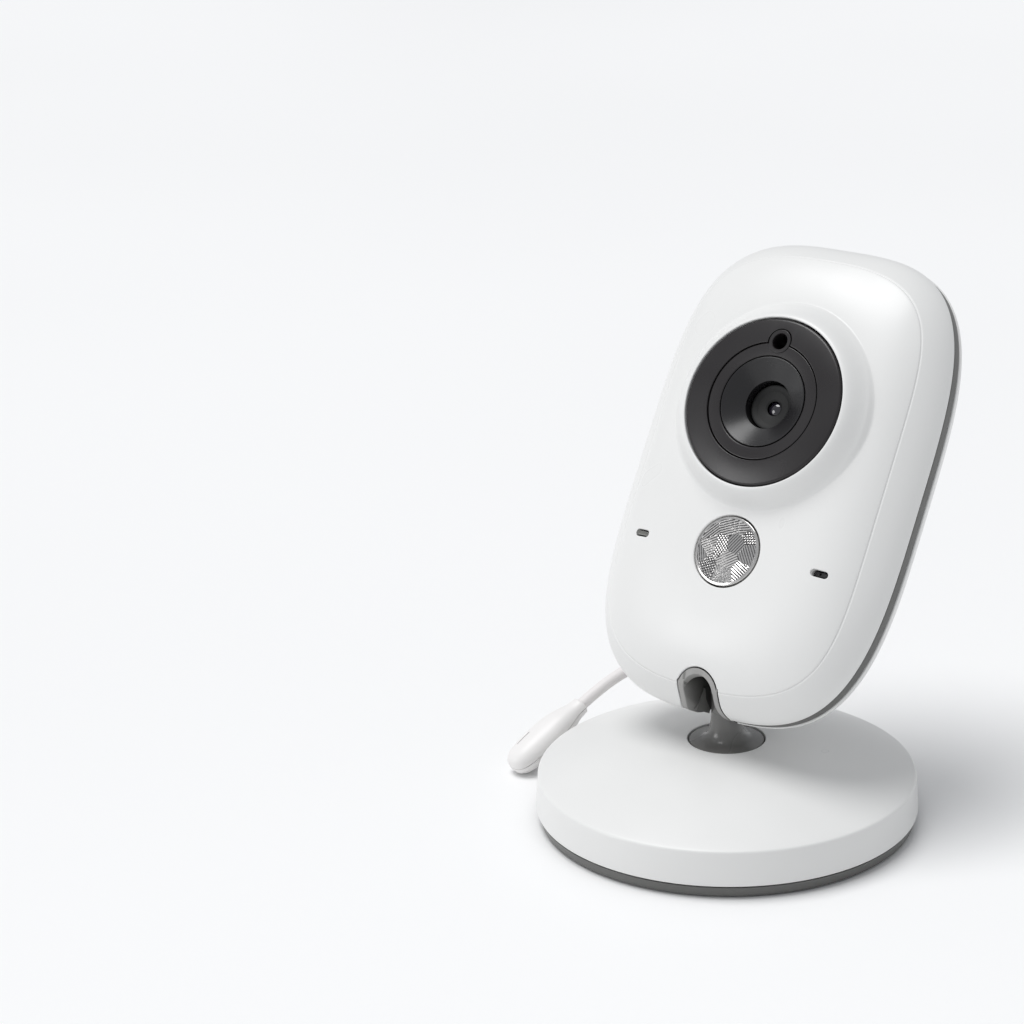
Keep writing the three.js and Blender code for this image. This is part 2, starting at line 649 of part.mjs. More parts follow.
function addBase(parent) {
  piece(parent, 'base_cover', baseCover(), 'white');
  piece(parent, 'base_plate', basePlate(), 'grey');
  const ballast = hollowDisc(34, 17, BASE_EDGE_Z, 8.6, 48);
  piece(parent, 'ballast_weight', ballast, 'iron');
  piece(parent, 'centre_pad', disc(7, 0, 0.9, 32), 'rubber');
  padPlaces().forEach(([x, y], i) => {
    piece(parent, `foot_pad_${i + 1}`, disc(5, 0, 0.9, 24).translate(x, y, 0), 'rubber');
  });
  screwPlaces().forEach(([x, y], i) => {
    const screw = turned([[0, 0.6], [1.4, 0.6], [1.4, 1.2], [0.9, 1.2], [0.9, 8.4], [0, 8.4]], 12);
    piece(parent, `base_screw_${i + 1}`, screw.translate(x, y, 0), 'steel');
  });
  piece(parent, 'swivel_washer', hollowDisc(6.4, 1.4, 11.2, 12.1, 28), 'steel');
  const screw = turned([[0, 9.1], [2.6, 9.1], [2.6, 10.9], [0.8, 10.9], [0.8, 14.8], [0, 14.8]], 20);
  piece(parent, 'swivel_screw', screw, 'steel');
}

// ---- temperature probe on its lead, in the object's own frame ----
const LEAD_DIAMETER = 2.6;
const LEAD_ROUTE = [
  [-12, 18.3, 27.7], [-12, 20, 26.6], [-12.3, 21.7, 25.4], [-13.1, 23.3, 24.3], [-14.5, 24.7, 23.3],
  [-16.6, 25.8, 22.5], [-19.3, 26.5, 21.8], [-22.3, 26.8, 21.2], [-25.4, 26.6, 20.7], [-28.5, 25.8, 20.2],
  [-31.4, 24.3, 19.6], [-34.1, 22.1, 18.8], [-36.4, 19.3, 17.8], [-38.2, 16.2, 16.6], [-39.6, 13.1, 15.2],
  [-40.7, 10.5, 13.8], [-41.5, 8.6, 12.67], [-42, 7.2, 11.84],
];
const PROBE = { length: 20.5, width: 7.7, thickness: 6.4 };

function lead() {
  const curve = new THREE.CatmullRomCurve3(LEAD_ROUTE.map((p) => new THREE.Vector3(...p)), false, 'centripetal');
  const section = new THREE.Shape();
  for (let i = 0; i < 8; i += 1) {
    const angle = (i / 8) * 2 * Math.PI;
    const point = [(LEAD_DIAMETER / 2) * Math.cos(angle), (LEAD_DIAMETER / 2) * Math.sin(angle)];
    if (i === 0) section.moveTo(...point);
    else section.lineTo(...point);
  }
  return new THREE.ExtrudeGeometry(section, { steps: 26, bevelEnabled: false, extrudePath: curve });
}

// The probe lies along its own -y from the lead's end, its wide sides facing up and down.
function probeRing(along, width, thickness) {
  return Array.from({ length: 24 }, (_, i) => {
    const angle = (i / 24) * 2 * Math.PI;
    const [c, s] = [Math.cos(angle), Math.sin(angle)];
    const x = (width / 2) * Math.sign(c) * Math.abs(c) ** 0.85;
    const z = (thickness / 2) * Math.sign(s) * Math.abs(s) ** 0.85;
    return new THREE.Vector3(x, -along, z);
  });
}

function probeBody(inset) {
  const stations = [
    [0, 0.5, 0.56], [2, 0.55, 0.62], [4, 0.7, 0.78], [6.5, 0.88, 0.94], [9.5, 1, 1], [13, 1, 1],
    [16, 0.96, 0.96], [18.2, 0.85, 0.86], [19.5, 0.66, 0.68], [20.3, 0.38, 0.4],
  ];
  const far = PROBE.length - 2 * inset;
  return loft(stations.map(([along, wide, thick]) => probeRing(
    inset + (along / PROBE.length) * far,
    PROBE.width * wide - 2 * inset,
    PROBE.thickness * thick - 2 * inset,
  )));
}

function probeHalf(side) {
  const half = block(20, 60, 20, 0, -20, side * (10 + GAP / 2));
  const core = disc(1.3, -6, 3, 20).rotateX(Math.PI / 2).translate(0, -9.5, 0);
  const kept = solid(probeBody(0)).intersect(solid(half)).subtract(solid(core));
  return geometryOf(kept);
}

function addLead(parent) {
  piece(parent, 'probe_lead', lead(), 'cream');
  const end = new THREE.Vector3(...LEAD_ROUTE[LEAD_ROUTE.length - 1]);
  const before = new THREE.Vector3(...LEAD_ROUTE[LEAD_ROUTE.length - 2]);
  const heading = end.clone().sub(before).normalize();
  const probe = new THREE.Group();
  probe.position.copy(end.clone().addScaledVector(heading, GAP));
  const right = new THREE.Vector3().crossVectors(heading, new THREE.Vector3(0, 0, 1)).normalize().negate();
  const up = new THREE.Vector3().crossVectors(heading, right).normalize();
  if (up.z < 0) up.negate();
  const across = new THREE.Vector3().crossVectors(heading.clone().negate(), up);
  probe.setRotationFromMatrix(new THREE.Matrix4().makeBasis(across, heading.clone().negate(), up));
  piece(probe, 'probe_shell_upper', probeHalf(1), 'cream');
  piece(probe, 'probe_shell_lower', probeHalf(-1), 'cream');
  piece(probe, 'thermistor', disc(0.95, -5.6, 2.6, 16).rotateX(Math.PI / 2).translate(0, -9.5, 0), 'black');
  parent.add(probe);
}

function leadGland() {
  return facing(cut(
    turned([[0, 1.8], [3.5, 1.8], [3.5, 3], [2.6, 3], [2.6, 10.4], [1.95, 13.7], [0, 13.7]], 24),
    disc(0.9, 0, 12.6, 12),
  ), 0, 0).rotateZ(Math.PI).translate(GLAND.x, 0, GLAND.z);
}

// ---- assembly ----
const group = new THREE.Group();
group.name = 'baby_monitor_camera';

const neck = new THREE.Group();
const tilting = new THREE.Group();
const head = new THREE.Group();
tilting.position.set(0, 0, PIVOT_Z);
tilting.rotation.x = -TILT_BACK;
head.position.set(0, -PIVOT_Y, -PIVOT_UP);
tilting.add(head);
group.add(neck, tilting);

addBase(group);
addNeck(neck);
addHead(head);
addLens(head);
addFaceParts(head);
addHeadInside(head);
addTiltHardware(head);
piece(head, 'lead_gland', leadGland(), 'cream');
addLead(group);
group.updateMatrixWorld(true);

export default group;
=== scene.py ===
"""The looks of a baby monitor's camera unit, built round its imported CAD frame.

Pieces are drawn in millimetres and scaled to metres when they are placed. Parts of the head use the head's
own measures: x to the side, y from the face (negative) to the back, z up the head.
"""
import math
from typing import NamedTuple

import bmesh
import bpy
import numpy as np
from mathutils import Matrix, Vector


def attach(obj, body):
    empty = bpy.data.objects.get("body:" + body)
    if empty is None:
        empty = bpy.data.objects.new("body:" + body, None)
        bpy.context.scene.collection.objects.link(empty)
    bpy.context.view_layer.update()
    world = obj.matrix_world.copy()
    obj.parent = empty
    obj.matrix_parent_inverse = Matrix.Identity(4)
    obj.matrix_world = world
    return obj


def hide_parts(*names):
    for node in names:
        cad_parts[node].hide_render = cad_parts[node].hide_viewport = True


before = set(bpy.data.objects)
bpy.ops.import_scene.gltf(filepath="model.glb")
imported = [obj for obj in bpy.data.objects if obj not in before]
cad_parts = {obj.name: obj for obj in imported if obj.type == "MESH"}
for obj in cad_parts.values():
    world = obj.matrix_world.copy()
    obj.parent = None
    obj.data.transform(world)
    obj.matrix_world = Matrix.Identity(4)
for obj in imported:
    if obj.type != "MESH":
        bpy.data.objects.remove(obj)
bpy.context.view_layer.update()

# ---- driving dimensions, in millimetres ----
GAP = 0.3
WALL = 2.0

BASE_RADIUS = 39.4
BASE_FOOT_RADIUS = 38.5
BASE_SHOULDER_RADIUS = 38.9
BASE_SHOULDER_Z = 10.1
BASE_TOP_Z = 17.2
BASE_EDGE_Z = 2.8
COLLAR_RADIUS = 8.0
PAD_CIRCLE = 31.0
SCREW_CIRCLE = 12.5

PIVOT_Z = 33.0
TILT_BACK = math.radians(32)
PIVOT_Y = -4.2
PIVOT_UP = 6.8
KNUCKLE_RADIUS = 3.7
PIN_HOLE_RADIUS = 1.5
STEM_RADIUS = 3.1


class Form(NamedTuple):
    """One outline of the head: its depth, half width, half height, middle, and squareness both ways."""

    y: float
    a: float
    b: float
    zc: float
    m: float
    n: float


SEAM = Form(-6, 33, 49.9, 46.1, 3.3, 3.5)
CREASE = Form(-12.85, 28, 45.7, 46, 2.7, 5.4)
BACK_RIM = Form(5.5, 27, 44.5, 46, 2.8, 3.6)
BAND_BACK = -3.6
FRONT_END = SEAM._replace(y=-6.15)
REAR_END = SEAM._replace(y=-3.45)
EDGE_CURVE = 1.7
FACE = {"rim": CREASE, "end": FRONT_END, "rise": 4.6, "power": 5.4, "side": -1}
BACK = {"rim": BACK_RIM, "end": REAR_END, "rise": 4.5, "power": 5.0, "side": 1}

LENS_Z = 58.8
MOUND_RADIUS, MOUND_WIDTH = 17.8, 5.0
MOUND_FRONT, MOUND_FALL = 21.3, 4.6
LENS_RING_RADIUS = 17.5
LENS_RING_FRONT = 21.7
GROOVE_RADIUS = 12.4
CONE_RADIUS = 9.4
LENS_OPENING = 5.05
SENSOR_UP = 12.7
WINDOW_Z = 28.1
WINDOW_RADIUS = 7.2
SLIT_X, SLIT_Z, SLIT_LENGTH, SLIT_HEIGHT = 21.2, 28.0, 3.0, 0.9
CREASE_DEPTH, CREASE_REACH = 0.1, 0.3

ARCH_HALF_WIDTH, ARCH_TOP = 4.7, 4.05
CHANNEL_HALF_WIDTH, CHANNEL_TOP = 3.5, 2.9

JACK = (15.0, 24.0)
GLAND = (-12.0, 12.0)
BUTTON = (15.0, 36.0)
SPEAKER_Z = 66.0
SHELL_SCREWS = [(-22, 17.5), (22, 17.5), (-20, 82), (20, 82)]
SCREW_SEAT = 4.6
POST_RADIUS, POST_BORE = 2.9, 1.5

LEAD_DIAMETER = 2.6
LEAD_ROUTE = [
    (-12, 18.3, 27.7), (-12, 20, 26.6), (-12.3, 21.7, 25.4), (-13.1, 23.3, 24.3), (-14.5, 24.7, 23.3),
    (-16.6, 25.8, 22.5), (-19.3, 26.5, 21.8), (-22.3, 26.8, 21.2), (-25.4, 26.6, 20.7), (-28.5, 25.8, 20.2),
    (-31.4, 24.3, 19.6), (-34.1, 22.1, 18.8), (-36.4, 19.3, 17.8), (-38.2, 16.2, 16.6), (-39.6, 13.1, 15.2),
    (-40.7, 10.5, 13.8), (-41.5, 8.6, 12.67), (-42, 7.2, 11.84),
]
PROBE_LENGTH, PROBE_WIDTH, PROBE_THICKNESS = 20.5, 7.7, 6.4

OUTLINE_POINTS = 288
HEAD = (
    Matrix.Translation((0, 0, PIVOT_Z))
    @ Matrix.Rotation(-TILT_BACK, 4, "X")
    @ Matrix.Translation((0, -PIVOT_Y, -PIVOT_UP))
)
WORLD = Matrix.Identity(4)


# ---- meshes ----
def skin(rings, closed=False):
    """Faces through rings of equal length, capped at both ends, or with the last ring joined to the first."""
    count, levels = len(rings[0]), len(rings)
    points = [tuple(p) for ring_points in rings for p in ring_points]
    faces = []
    for level in range(levels if closed else levels - 1):
        low, high = level * count, (level + 1) % levels * count
        for i in range(count):
            j = (i + 1) % count
            faces.append((low + i, high + i, high + j, low + j))
    for level in () if closed else (0, levels - 1):
        points.append(tuple(np.mean(rings[level], axis=0)))
        for i in range(count):
            faces.append((len(points) - 1, level * count + i, level * count + (i + 1) % count))
    return points, faces


def solid(points, faces):
    """A Blender object of those faces, turned outward."""
    mesh = bpy.data.meshes.new("solid")
    mesh.from_pydata(points, [], faces)
    tidy = bmesh.new()
    tidy.from_mesh(mesh)
    bmesh.ops.remove_doubles(tidy, verts=tidy.verts, dist=1e-4)
    bmesh.ops.recalc_face_normals(tidy, faces=tidy.faces)
    tidy.to_mesh(mesh)
    tidy.free()
    made = bpy.data.objects.new("solid", mesh)
    bpy.context.scene.collection.objects.link(made)
    return made


def changed(operation, target, tools):
    """The target after that boolean with each tool. The tools are used up."""
    for tool in tools:
        modifier = target.modifiers.new("change", "BOOLEAN")
        modifier.operation = operation
        modifier.solver = "EXACT"
        modifier.object = tool
    depsgraph = bpy.context.evaluated_depsgraph_get()
    mesh = bpy.data.meshes.new_from_object(target.evaluated_get(depsgraph))
    target.modifiers.clear()
    target.data = mesh
    for tool in tools:
        bpy.data.objects.remove(tool)
    return target


def cut(target, *tools):
    return changed("DIFFERENCE", target, tools)


def joined(target, *tools):
    return changed("UNION", target, tools)


def common(target, *tools):
    return changed("INTERSECT", target, tools)


def moved(target, matrix):
    target.data.transform(matrix)
    return target


def rounded(profile, closed=False, steps=5):
    """The profile with each corner that gives a third number, its radius, turned into an arc."""
    line = []
    for i, (x, y, *radius) in enumerate(profile):
        if not radius or (not closed and i in (0, len(profile) - 1)):
            line.append((x, y))
            continue
        corner = Vector((x, y))
        before = Vector(profile[i - 1][:2]) - corner
        after = Vector(profile[(i + 1) % len(profile)][:2]) - corner
        reach = radius[0] / math.tan(before.angle(after) / 2)
        reach = min(reach, 0.49 * before.length, 0.49 * after.length)
        first, last = corner + before.normalized() * reach, corner + after.normalized() * reach
        for t in np.linspace(0, 1, steps + 1):
            line.append(tuple(first * (1 - t) ** 2 + corner * 2 * t * (1 - t) + last * t * t))
    return line


def smooth(points, steps=6):
    """The points of a smooth curve through the given ones."""
    points = np.asarray(points, float)
    padded = np.vstack((2 * points[0] - points[1], points, 2 * points[-1] - points[-2]))
    line = []
    for a, b, c, d in zip(padded, padded[1:], padded[2:], padded[3:]):
        for t in np.arange(steps) / steps:
            bend = (2 * a - 5 * b + 4 * c - d) * t**2 + (3 * b - a - 3 * c + d) * t**3
            line.append(b + 0.5 * ((c - a) * t + bend))
    return np.array([*line, points[-1]])


def lathe(profile, segments=192, closed=False):
    """A body turned about z from (radius, height) points. A closed profile leaves the axis free."""
    turns = np.linspace(0, 2 * np.pi, segments, endpoint=False)
    c, s = np.cos(turns), np.sin(turns)
    rings = [np.column_stack((r * c, r * s, 0 * c + h)) for r, h in rounded(profile, closed)]
    return solid(*skin(rings, closed))


def disc(radius, low, high, segments=96):
    return lathe([(radius, low), (radius, high)], segments)


def slab(x, y, z):
    """A block between two corners, given as (low, high) each way."""
    ring_points = [(x[0], y[0]), (x[1], y[0]), (x[1], y[1]), (x[0], y[1])]
    return solid(*skin([[(p, q, height) for p, q in ring_points] for height in z]))


def facing(x, z):
    """Stands a turned body at x and z with its own z toward the face."""
    return Matrix.Translation((x, 0, z)) @ Matrix.Rotation(math.pi / 2, 4, "X")


def backing(x, z):
    """The same, with its own z toward the back."""
    return Matrix.Translation((x, 0, z)) @ Matrix.Rotation(-math.pi / 2, 4, "X")


def place(made, node, body, material, where=HEAD, sharp=32):
    """Makes the body the visible piece that stands for a CAD node."""
    made.data.transform(Matrix.Scale(0.001, 4) @ where)
    made.name = node + "_detailed"
    made.data.materials.clear()
    made.data.materials.append(material)
    made.data.shade_smooth()
    made.data.set_sharp_from_angle(angle=math.radians(sharp))
    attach(made, body)
    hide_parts(node)
    return made


# ---- the head's outer form ----
def blend(first, second, share):
    return Form(*(p + (q - p) * share for p, q in zip(first, second)))


def halved(low, high, too_low):
    """Where a growing quantity crosses, found by halving: too_low tells whether a value is short of it."""
    for _ in range(40):
        middle = (low + high) / 2
        short = too_low(middle)
        low, high = np.where(short, middle, low), np.where(short, high, middle)
    return (low + high) / 2


def outline_scale(form, x, z):
    """How far the outline is scaled about its middle to pass through x and z."""
    across, up = np.abs(x / form.a), np.abs((z - form.zc) / form.b)
    start = np.zeros(np.broadcast(x, z).shape) + 1e-4
    return halved(start, start + 3, lambda s: (across / s) ** form.m + (up / s) ** form.n > 1)


def outline(form, inset=0.0, scale=1.0):
    turns = np.linspace(0, 2 * np.pi, OUTLINE_POINTS, endpoint=False)
    c, s = np.cos(turns), np.sin(turns)
    reach = scale / outline_scale(Form(0, 1, 1, 0, form.m, form.n), c, s)
    return (form.a - inset) * reach * c, form.zc + (form.b - inset) * reach * s


def ring(form, inset=0.0, scale=1.0):
    x, z = outline(form, inset, scale)
    return np.column_stack((x, 0 * x + form.y, z))


def skin_depth(shell, x, z):
    """The y of a shell's outer skin at x and z: its dome, or outside the rim its rolled edge."""
    rim, end = shell["rim"], shell["end"]
    scale = outline_scale(rim, x, z)
    dome = rim.y + shell["side"] * shell["rise"] * (1 - scale ** shell["power"])

    def inside(share):
        form = blend(end, rim, share**EDGE_CURVE)
        return np.abs(x / form.a) ** form.m + np.abs((z - form.zc) / form.b) ** form.n < 1

    share = halved(0 * scale, 0 * scale + 1, inside)
    return np.where(scale <= 1, dome, end.y + (rim.y - end.y) * share)


def dome_rings(shell, inset, scales):
    rim, side = shell["rim"], shell["side"]
    rise = [side * (shell["rise"] * (1 - scale ** shell["power"]) - inset) for scale in scales]
    return [ring(rim._replace(y=rim.y + lift), inset, scale) for lift, scale in zip(rise, scales)]


def edge_rings(shell, inset, shares):
    """Rings of the rolled edge: share 1 is at the rim and 0 at the seam."""
    rim, end = shell["rim"], shell["end"]
    made = []
    for share in shares:
        y = end.y + (rim.y - shell["side"] * inset - end.y) * share
        made.append(ring(blend(end, rim, share**EDGE_CURVE)._replace(y=y), inset))
    return made


def seam_lip(shell, radius=0.25):
    """The small round where a shell's outside turns in to its end face."""
    end, side = shell["end"], shell["side"]
    turns = np.linspace(0, math.pi / 2, 5)
    lifts = [(radius * (1 - math.sin(t)), radius * (1 - math.cos(t))) for t in turns]
    return [ring(end._replace(y=end.y + side * depth), inset) for depth, inset in lifts]


def on_skin(shell, x, z, sunk=0.0):
    return np.column_stack((x, skin_depth(shell, x, z) - shell["side"] * sunk, z))


def circle(x, z, radius, count=96):
    turns = np.linspace(0, 2 * np.pi, count, endpoint=False)
    return x + radius * np.cos(turns), z + radius * np.sin(turns)


def stadium(x, z, length, height, grow=0.0, count=24):
    """A slot with round ends."""
    turns = np.linspace(-np.pi / 2, np.pi / 2, count)
    radius, reach = height / 2 + grow, (length - height) / 2
    right_x, right_z = x + reach + radius * np.cos(turns), z + radius * np.sin(turns)
    left_x, left_z = x - reach - radius * np.cos(turns), z - radius * np.sin(turns)
    return np.concatenate((right_x, left_x)), np.concatenate((right_z, left_z))


def arch(half_width, top, flare):
    """An upright arch whose feet flare out at the bottom."""
    foot_top, foot_low = -1.6, -4.2
    bezier = np.linspace(0, 1, 12)
    foot = (1 - bezier) ** 2, 2 * bezier * (1 - bezier), bezier**2
    foot_x = foot[0] * (half_width + flare) + (foot[1] + foot[2]) * half_width
    foot_z = foot[0] * foot_low + foot[1] * (foot_low + 0.9) + foot[2] * foot_top
    leg_z = np.linspace(foot_top, top - half_width, 6)[1:-1]
    turns = np.linspace(0, np.pi / 2, 25)
    right_x = [half_width + flare, *foot_x, *(0 * leg_z + half_width), *(half_width * np.cos(turns))]
    right_z = [-12, *foot_z, *leg_z, *(top - half_width + half_width * np.sin(turns))]
    x = np.array([*right_x, *[-value for value in right_x[-2::-1]]])
    return x, np.array([*right_z, *right_z[-2::-1]])


def mouth(shell, outline_at, lip, deep):
    """A cutter down to the depth deep, whose mouth flares in a quarter round of radius lip at the skin."""
    x, z = outline_at(0)
    rings = [np.column_stack((x, 0 * x + deep, z))]
    for turn in np.linspace(0, math.pi / 2, 6):
        x, z = outline_at(lip * (1 - math.cos(turn)))
        rings.append(on_skin(shell, x, z, lip * (1 - math.sin(turn))))
    rings.append(np.column_stack((x, 0 * x + shell["side"] * 40, z)))
    return solid(*skin(rings))


def along_x(points, half_width):
    """A shape drawn in y and z, drawn out along x on both sides of the middle."""
    return solid(*skin([[(x, y, z) for y, z in points] for x in (-half_width, half_width)]))


def liner_housing():
    back = [(-2, 12.4), (1.2, 10.9), (7.8, 4.8), (7.8, -2)]
    return along_x([(-12.9, -2), (-12.9, 4.2), (-9.4, 11), (-6.4, 12.4), *back], ARCH_HALF_WIDTH)


def liner_opening(shell):
    back = [(-1.9, 12.7), (1.4, 11.2), (8.1, 5), (8.1, -4)]
    half_width, top = ARCH_HALF_WIDTH + GAP, ARCH_TOP + GAP
    housing = along_x([(-13.2, -4), (-13.2, 4.4), (-9.6, 11.3), (-6.5, 12.7), *back], half_width)
    opening = mouth(shell, lambda grow: arch(half_width + grow, top + grow, 1.6), 0.2, -shell["side"] * 30)
    return opening, housing


# ---- shells ----
def mound_front(radius):
    """How far the raised ring round the lens stands in front of the head's origin, away from its middle."""
    share = np.clip((radius - MOUND_RADIUS) / MOUND_WIDTH, 0, 1)
    fall = MOUND_FALL * share**2 * (3 - 2 * share)
    return MOUND_FRONT - fall - 1.2 * np.maximum(0, radius - 21.6) ** 2


def mound_ring(radius, sunk=0.0, fillet=0.7):
    """One ring of the face round the lens, where the mound grows out of the dome in a small fillet."""
    x, z = circle(0, LENS_Z, radius, OUTLINE_POINTS)
    dome, mound = -skin_depth(FACE, x, z), mound_front(radius)
    near = np.maximum(fillet - np.abs(dome - mound), 0) / fillet
    front = np.maximum(dome, mound) + near**2 * fillet / 4
    return np.column_stack((x, sunk - front, z))


def crease_rings():
    """The shallow groove round the face, from the rolled edge's side to the dome's."""
    made = []
    for reach in np.linspace(-CREASE_REACH, CREASE_REACH, 13):
        depth = CREASE_DEPTH * (1 + math.cos(math.pi * reach / CREASE_REACH)) / 2
        if reach < 0:
            share = 1 + reach / 10.5
            x, z = outline(blend(FRONT_END, CREASE, share**EDGE_CURVE), depth)
            y = FRONT_END.y + (CREASE.y - FRONT_END.y) * share
        else:
            x, z = outline(CREASE, depth + 0.75 * reach)
            y = skin_depth(FACE, *outline(CREASE, 0.75 * reach))
        made.append(np.column_stack((x, y + depth + 0 * x, z)))
    return made


def face_rings(start, sink, shares):
    """Rings that pass from the crease's outline, start inside it, to a circle round the lens."""
    x0, z0 = outline(CREASE, start)
    x1, z1 = circle(0, LENS_Z, 24, OUTLINE_POINTS)
    return [on_skin(FACE, x0 + (x1 - x0) * t, z0 + (z1 - z0) * t, sink) for t in shares]


def post(x, z, radius, start, shell):
    """A screw post from the depth start to the middle of the shell's wall."""
    ring_x, ring_z = circle(x, z, radius, 32)
    far = on_skin(shell, ring_x, ring_z, 1)
    return solid(*skin([np.column_stack((ring_x, 0 * ring_x + start, ring_z)), far]))


def front_shell():
    lens_hole = LENS_RING_RADIUS + GAP
    outside = [
        *seam_lip(FACE)[::-1],
        *edge_rings(FACE, 0, np.linspace(0.06, 0.96, 26)),
        *crease_rings(),
        *face_rings(0.45, 0, np.linspace(0, 1, 46) ** 1.25),
        *[mound_ring(radius) for radius in np.linspace(23.8, 18.1, 44)],
    ]
    lip = 0.28
    hole = []
    for turn in np.linspace(0.3, 1.57, 5):
        hole.append(mound_ring(lens_hole + lip * (1 - math.sin(turn)), lip * (1 - math.cos(turn))))
    x, z = circle(0, LENS_Z, lens_hole, OUTLINE_POINTS)
    hole.append(np.column_stack((x, 0 * x - 14.6, z)))
    inside = [
        mound_ring(22, 2.6),
        *face_rings(WALL, WALL, np.linspace(1, 0, 12)),
        *edge_rings(FACE, WALL, np.linspace(0.97, 0, 12)),
    ]
    shell = solid(*skin([*outside, *hole, *inside], closed=True))
    joined(shell, *[post(x, z, POST_RADIUS, -1.8, FACE) for x, z in SHELL_SCREWS])
    cut(
        shell,
        *[moved(disc(POST_BORE, 1.5, 9, 32), facing(x, z)) for x, z in SHELL_SCREWS],
        mouth(FACE, lambda grow: circle(0, WINDOW_Z, WINDOW_RADIUS + GAP + grow, 192), 0.3, -9),
        *[mouth(FACE, slit_outline(side), 0.12, -8) for side in (-1, 1)],
        *liner_opening(FACE),
    )
    place(shell, "front_shell", "head", white)


def slit_outline(side):
    length, height = SLIT_LENGTH + 2 * GAP, SLIT_HEIGHT + 2 * GAP
    return lambda grow: stadium(side * SLIT_X, SLIT_Z, length, height, grow)


def speaker_holes():
    """Middles of the sound holes, in rings round the speaker."""
    places = [(0, SPEAKER_Z)]
    for count, radius in ((6, 3.2), (12, 6.4)):
        for turn in np.arange(count) / count * 2 * np.pi:
            places.append((radius * np.cos(turn), SPEAKER_Z + radius * np.sin(turn)))
    return places


def round_mouth(x, z, radius, lip, deep, count=64):
    return mouth(BACK, lambda grow: circle(x, z, radius + grow, count), lip, deep)


def rear_shell():
    outside = [
        *dome_rings(BACK, 0, np.linspace(0.02, 1, 40)),
        *edge_rings(BACK, 0, np.linspace(0.97, 0.05, 26)),
        *seam_lip(BACK),
    ]
    inside = [
        *edge_rings(BACK, WALL, np.linspace(0, 0.9, 12)),
        *dome_rings(BACK, WALL, np.linspace(1, 0.1, 12)),
    ]
    shell = solid(*skin([*outside, *inside]))
    joined(shell, *[post(x, z, POST_RADIUS, -1.5, BACK) for x, z in SHELL_SCREWS])
    cut(
        shell,
        *[moved(disc(POST_BORE, -3, 9, 32), backing(x, z)) for x, z in SHELL_SCREWS],
        *[round_mouth(x, z, 2.2, 0.25, SCREW_SEAT) for x, z in SHELL_SCREWS],
        *[round_mouth(x, z, 0.8, 0.2, 3, 24) for x, z in speaker_holes()],
        round_mouth(*JACK, 4.5, 0.3, 3, 96),
        round_mouth(*GLAND, 2.9, 0.3, 3),
        round_mouth(*BUTTON, 3.5, 0.3, 3),
        *liner_opening(BACK),
    )
    place(shell, "rear_shell", "head", white)


def trim_band():
    front, back = SEAM.y + GAP / 2, BAND_BACK - GAP / 2
    section = rounded(
        [(0.15, front, 0.12), (0.15, back, 0.12), (WALL + GAP, back), (WALL + GAP, front)], closed=True
    )
    band = solid(*skin([ring(SEAM._replace(y=y), inset) for inset, y in section], closed=True))
    x, z = arch(ARCH_HALF_WIDTH + GAP, ARCH_TOP + GAP, 1.6)
    opening = solid(*skin([np.column_stack((x, 0 * x + y, z)) for y in (-30, 30)]))
    place(cut(band, opening), "trim_band", "head", dark_grey)


def channel(grow):
    """The slot's outline, grown on all sides."""
    return arch(CHANNEL_HALF_WIDTH + grow, CHANNEL_TOP + grow, 1.4)


def slot_liner():
    """The lining of the slot in the head's foot: a ribbed channel that the neck's top swings in."""
    form = [
        *dome_rings(FACE, 0.05, np.linspace(0.05, 0.98, 16)),
        *edge_rings(FACE, 0.05, np.linspace(1, 0, 18)),
        *edge_rings(BACK, 0.05, np.linspace(0, 1, 18)),
        *dome_rings(BACK, 0.05, np.linspace(0.98, 0.05, 16)),
    ]
    x, z = arch(ARCH_HALF_WIDTH, ARCH_TOP, 1.6)
    liner = solid(*skin([np.column_stack((x, 0 * x + y, z)) for y in (-30, 30)]))
    joined(liner, liner_housing())
    common(liner, solid(*skin(form)))
    pivot = Matrix.Translation((0, PIVOT_Y, PIVOT_UP)) @ Matrix.Rotation(math.pi / 2, 4, "Y")
    room = [(-6, 10.9), (-2.4, 10.9), (0.4, 9.6), (6.4, 4.2), (6.4, -12)]
    cut(
        liner,
        mouth(FACE, channel, 0.4, 30),
        mouth(BACK, channel, 0.4, -30),
        along_x([(-11.6, -12), (-11.6, 3.6), (-8.6, 9.6), *room], CHANNEL_HALF_WIDTH),
        moved(disc(PIN_HOLE_RADIUS, -9, 9, 48), pivot),
    )
    rib = along_x([(-4.9, -3.4), (-4.7, 1.4), (-4.2, 1.4), (-2.6, -0.6), (0.2, -2.2), (0.2, -3)], 0.35)
    joined(liner, moved(rib, Matrix.Translation((-CHANNEL_HALF_WIDTH - 0.1, 0, 0))))
    place(liner, "slot_liner", "head", liner_grey)
    liner.data.materials.append(rib_painted_shade_grey)
    # The rib's inner side gets a darker copy of the liner's plastic: painted shade for the rib inside the
    # slot.
    # It stands 0.25 mm out of the left cheek.
    rib_x = -0.001 * (CHANNEL_HALF_WIDTH - 0.25)
    on_rib = [abs(face.center.x - rib_x) < 0.0001 for face in liner.data.polygons]
    liner.data.polygons.foreach_set("material_index", np.array(on_rib, np.int32))


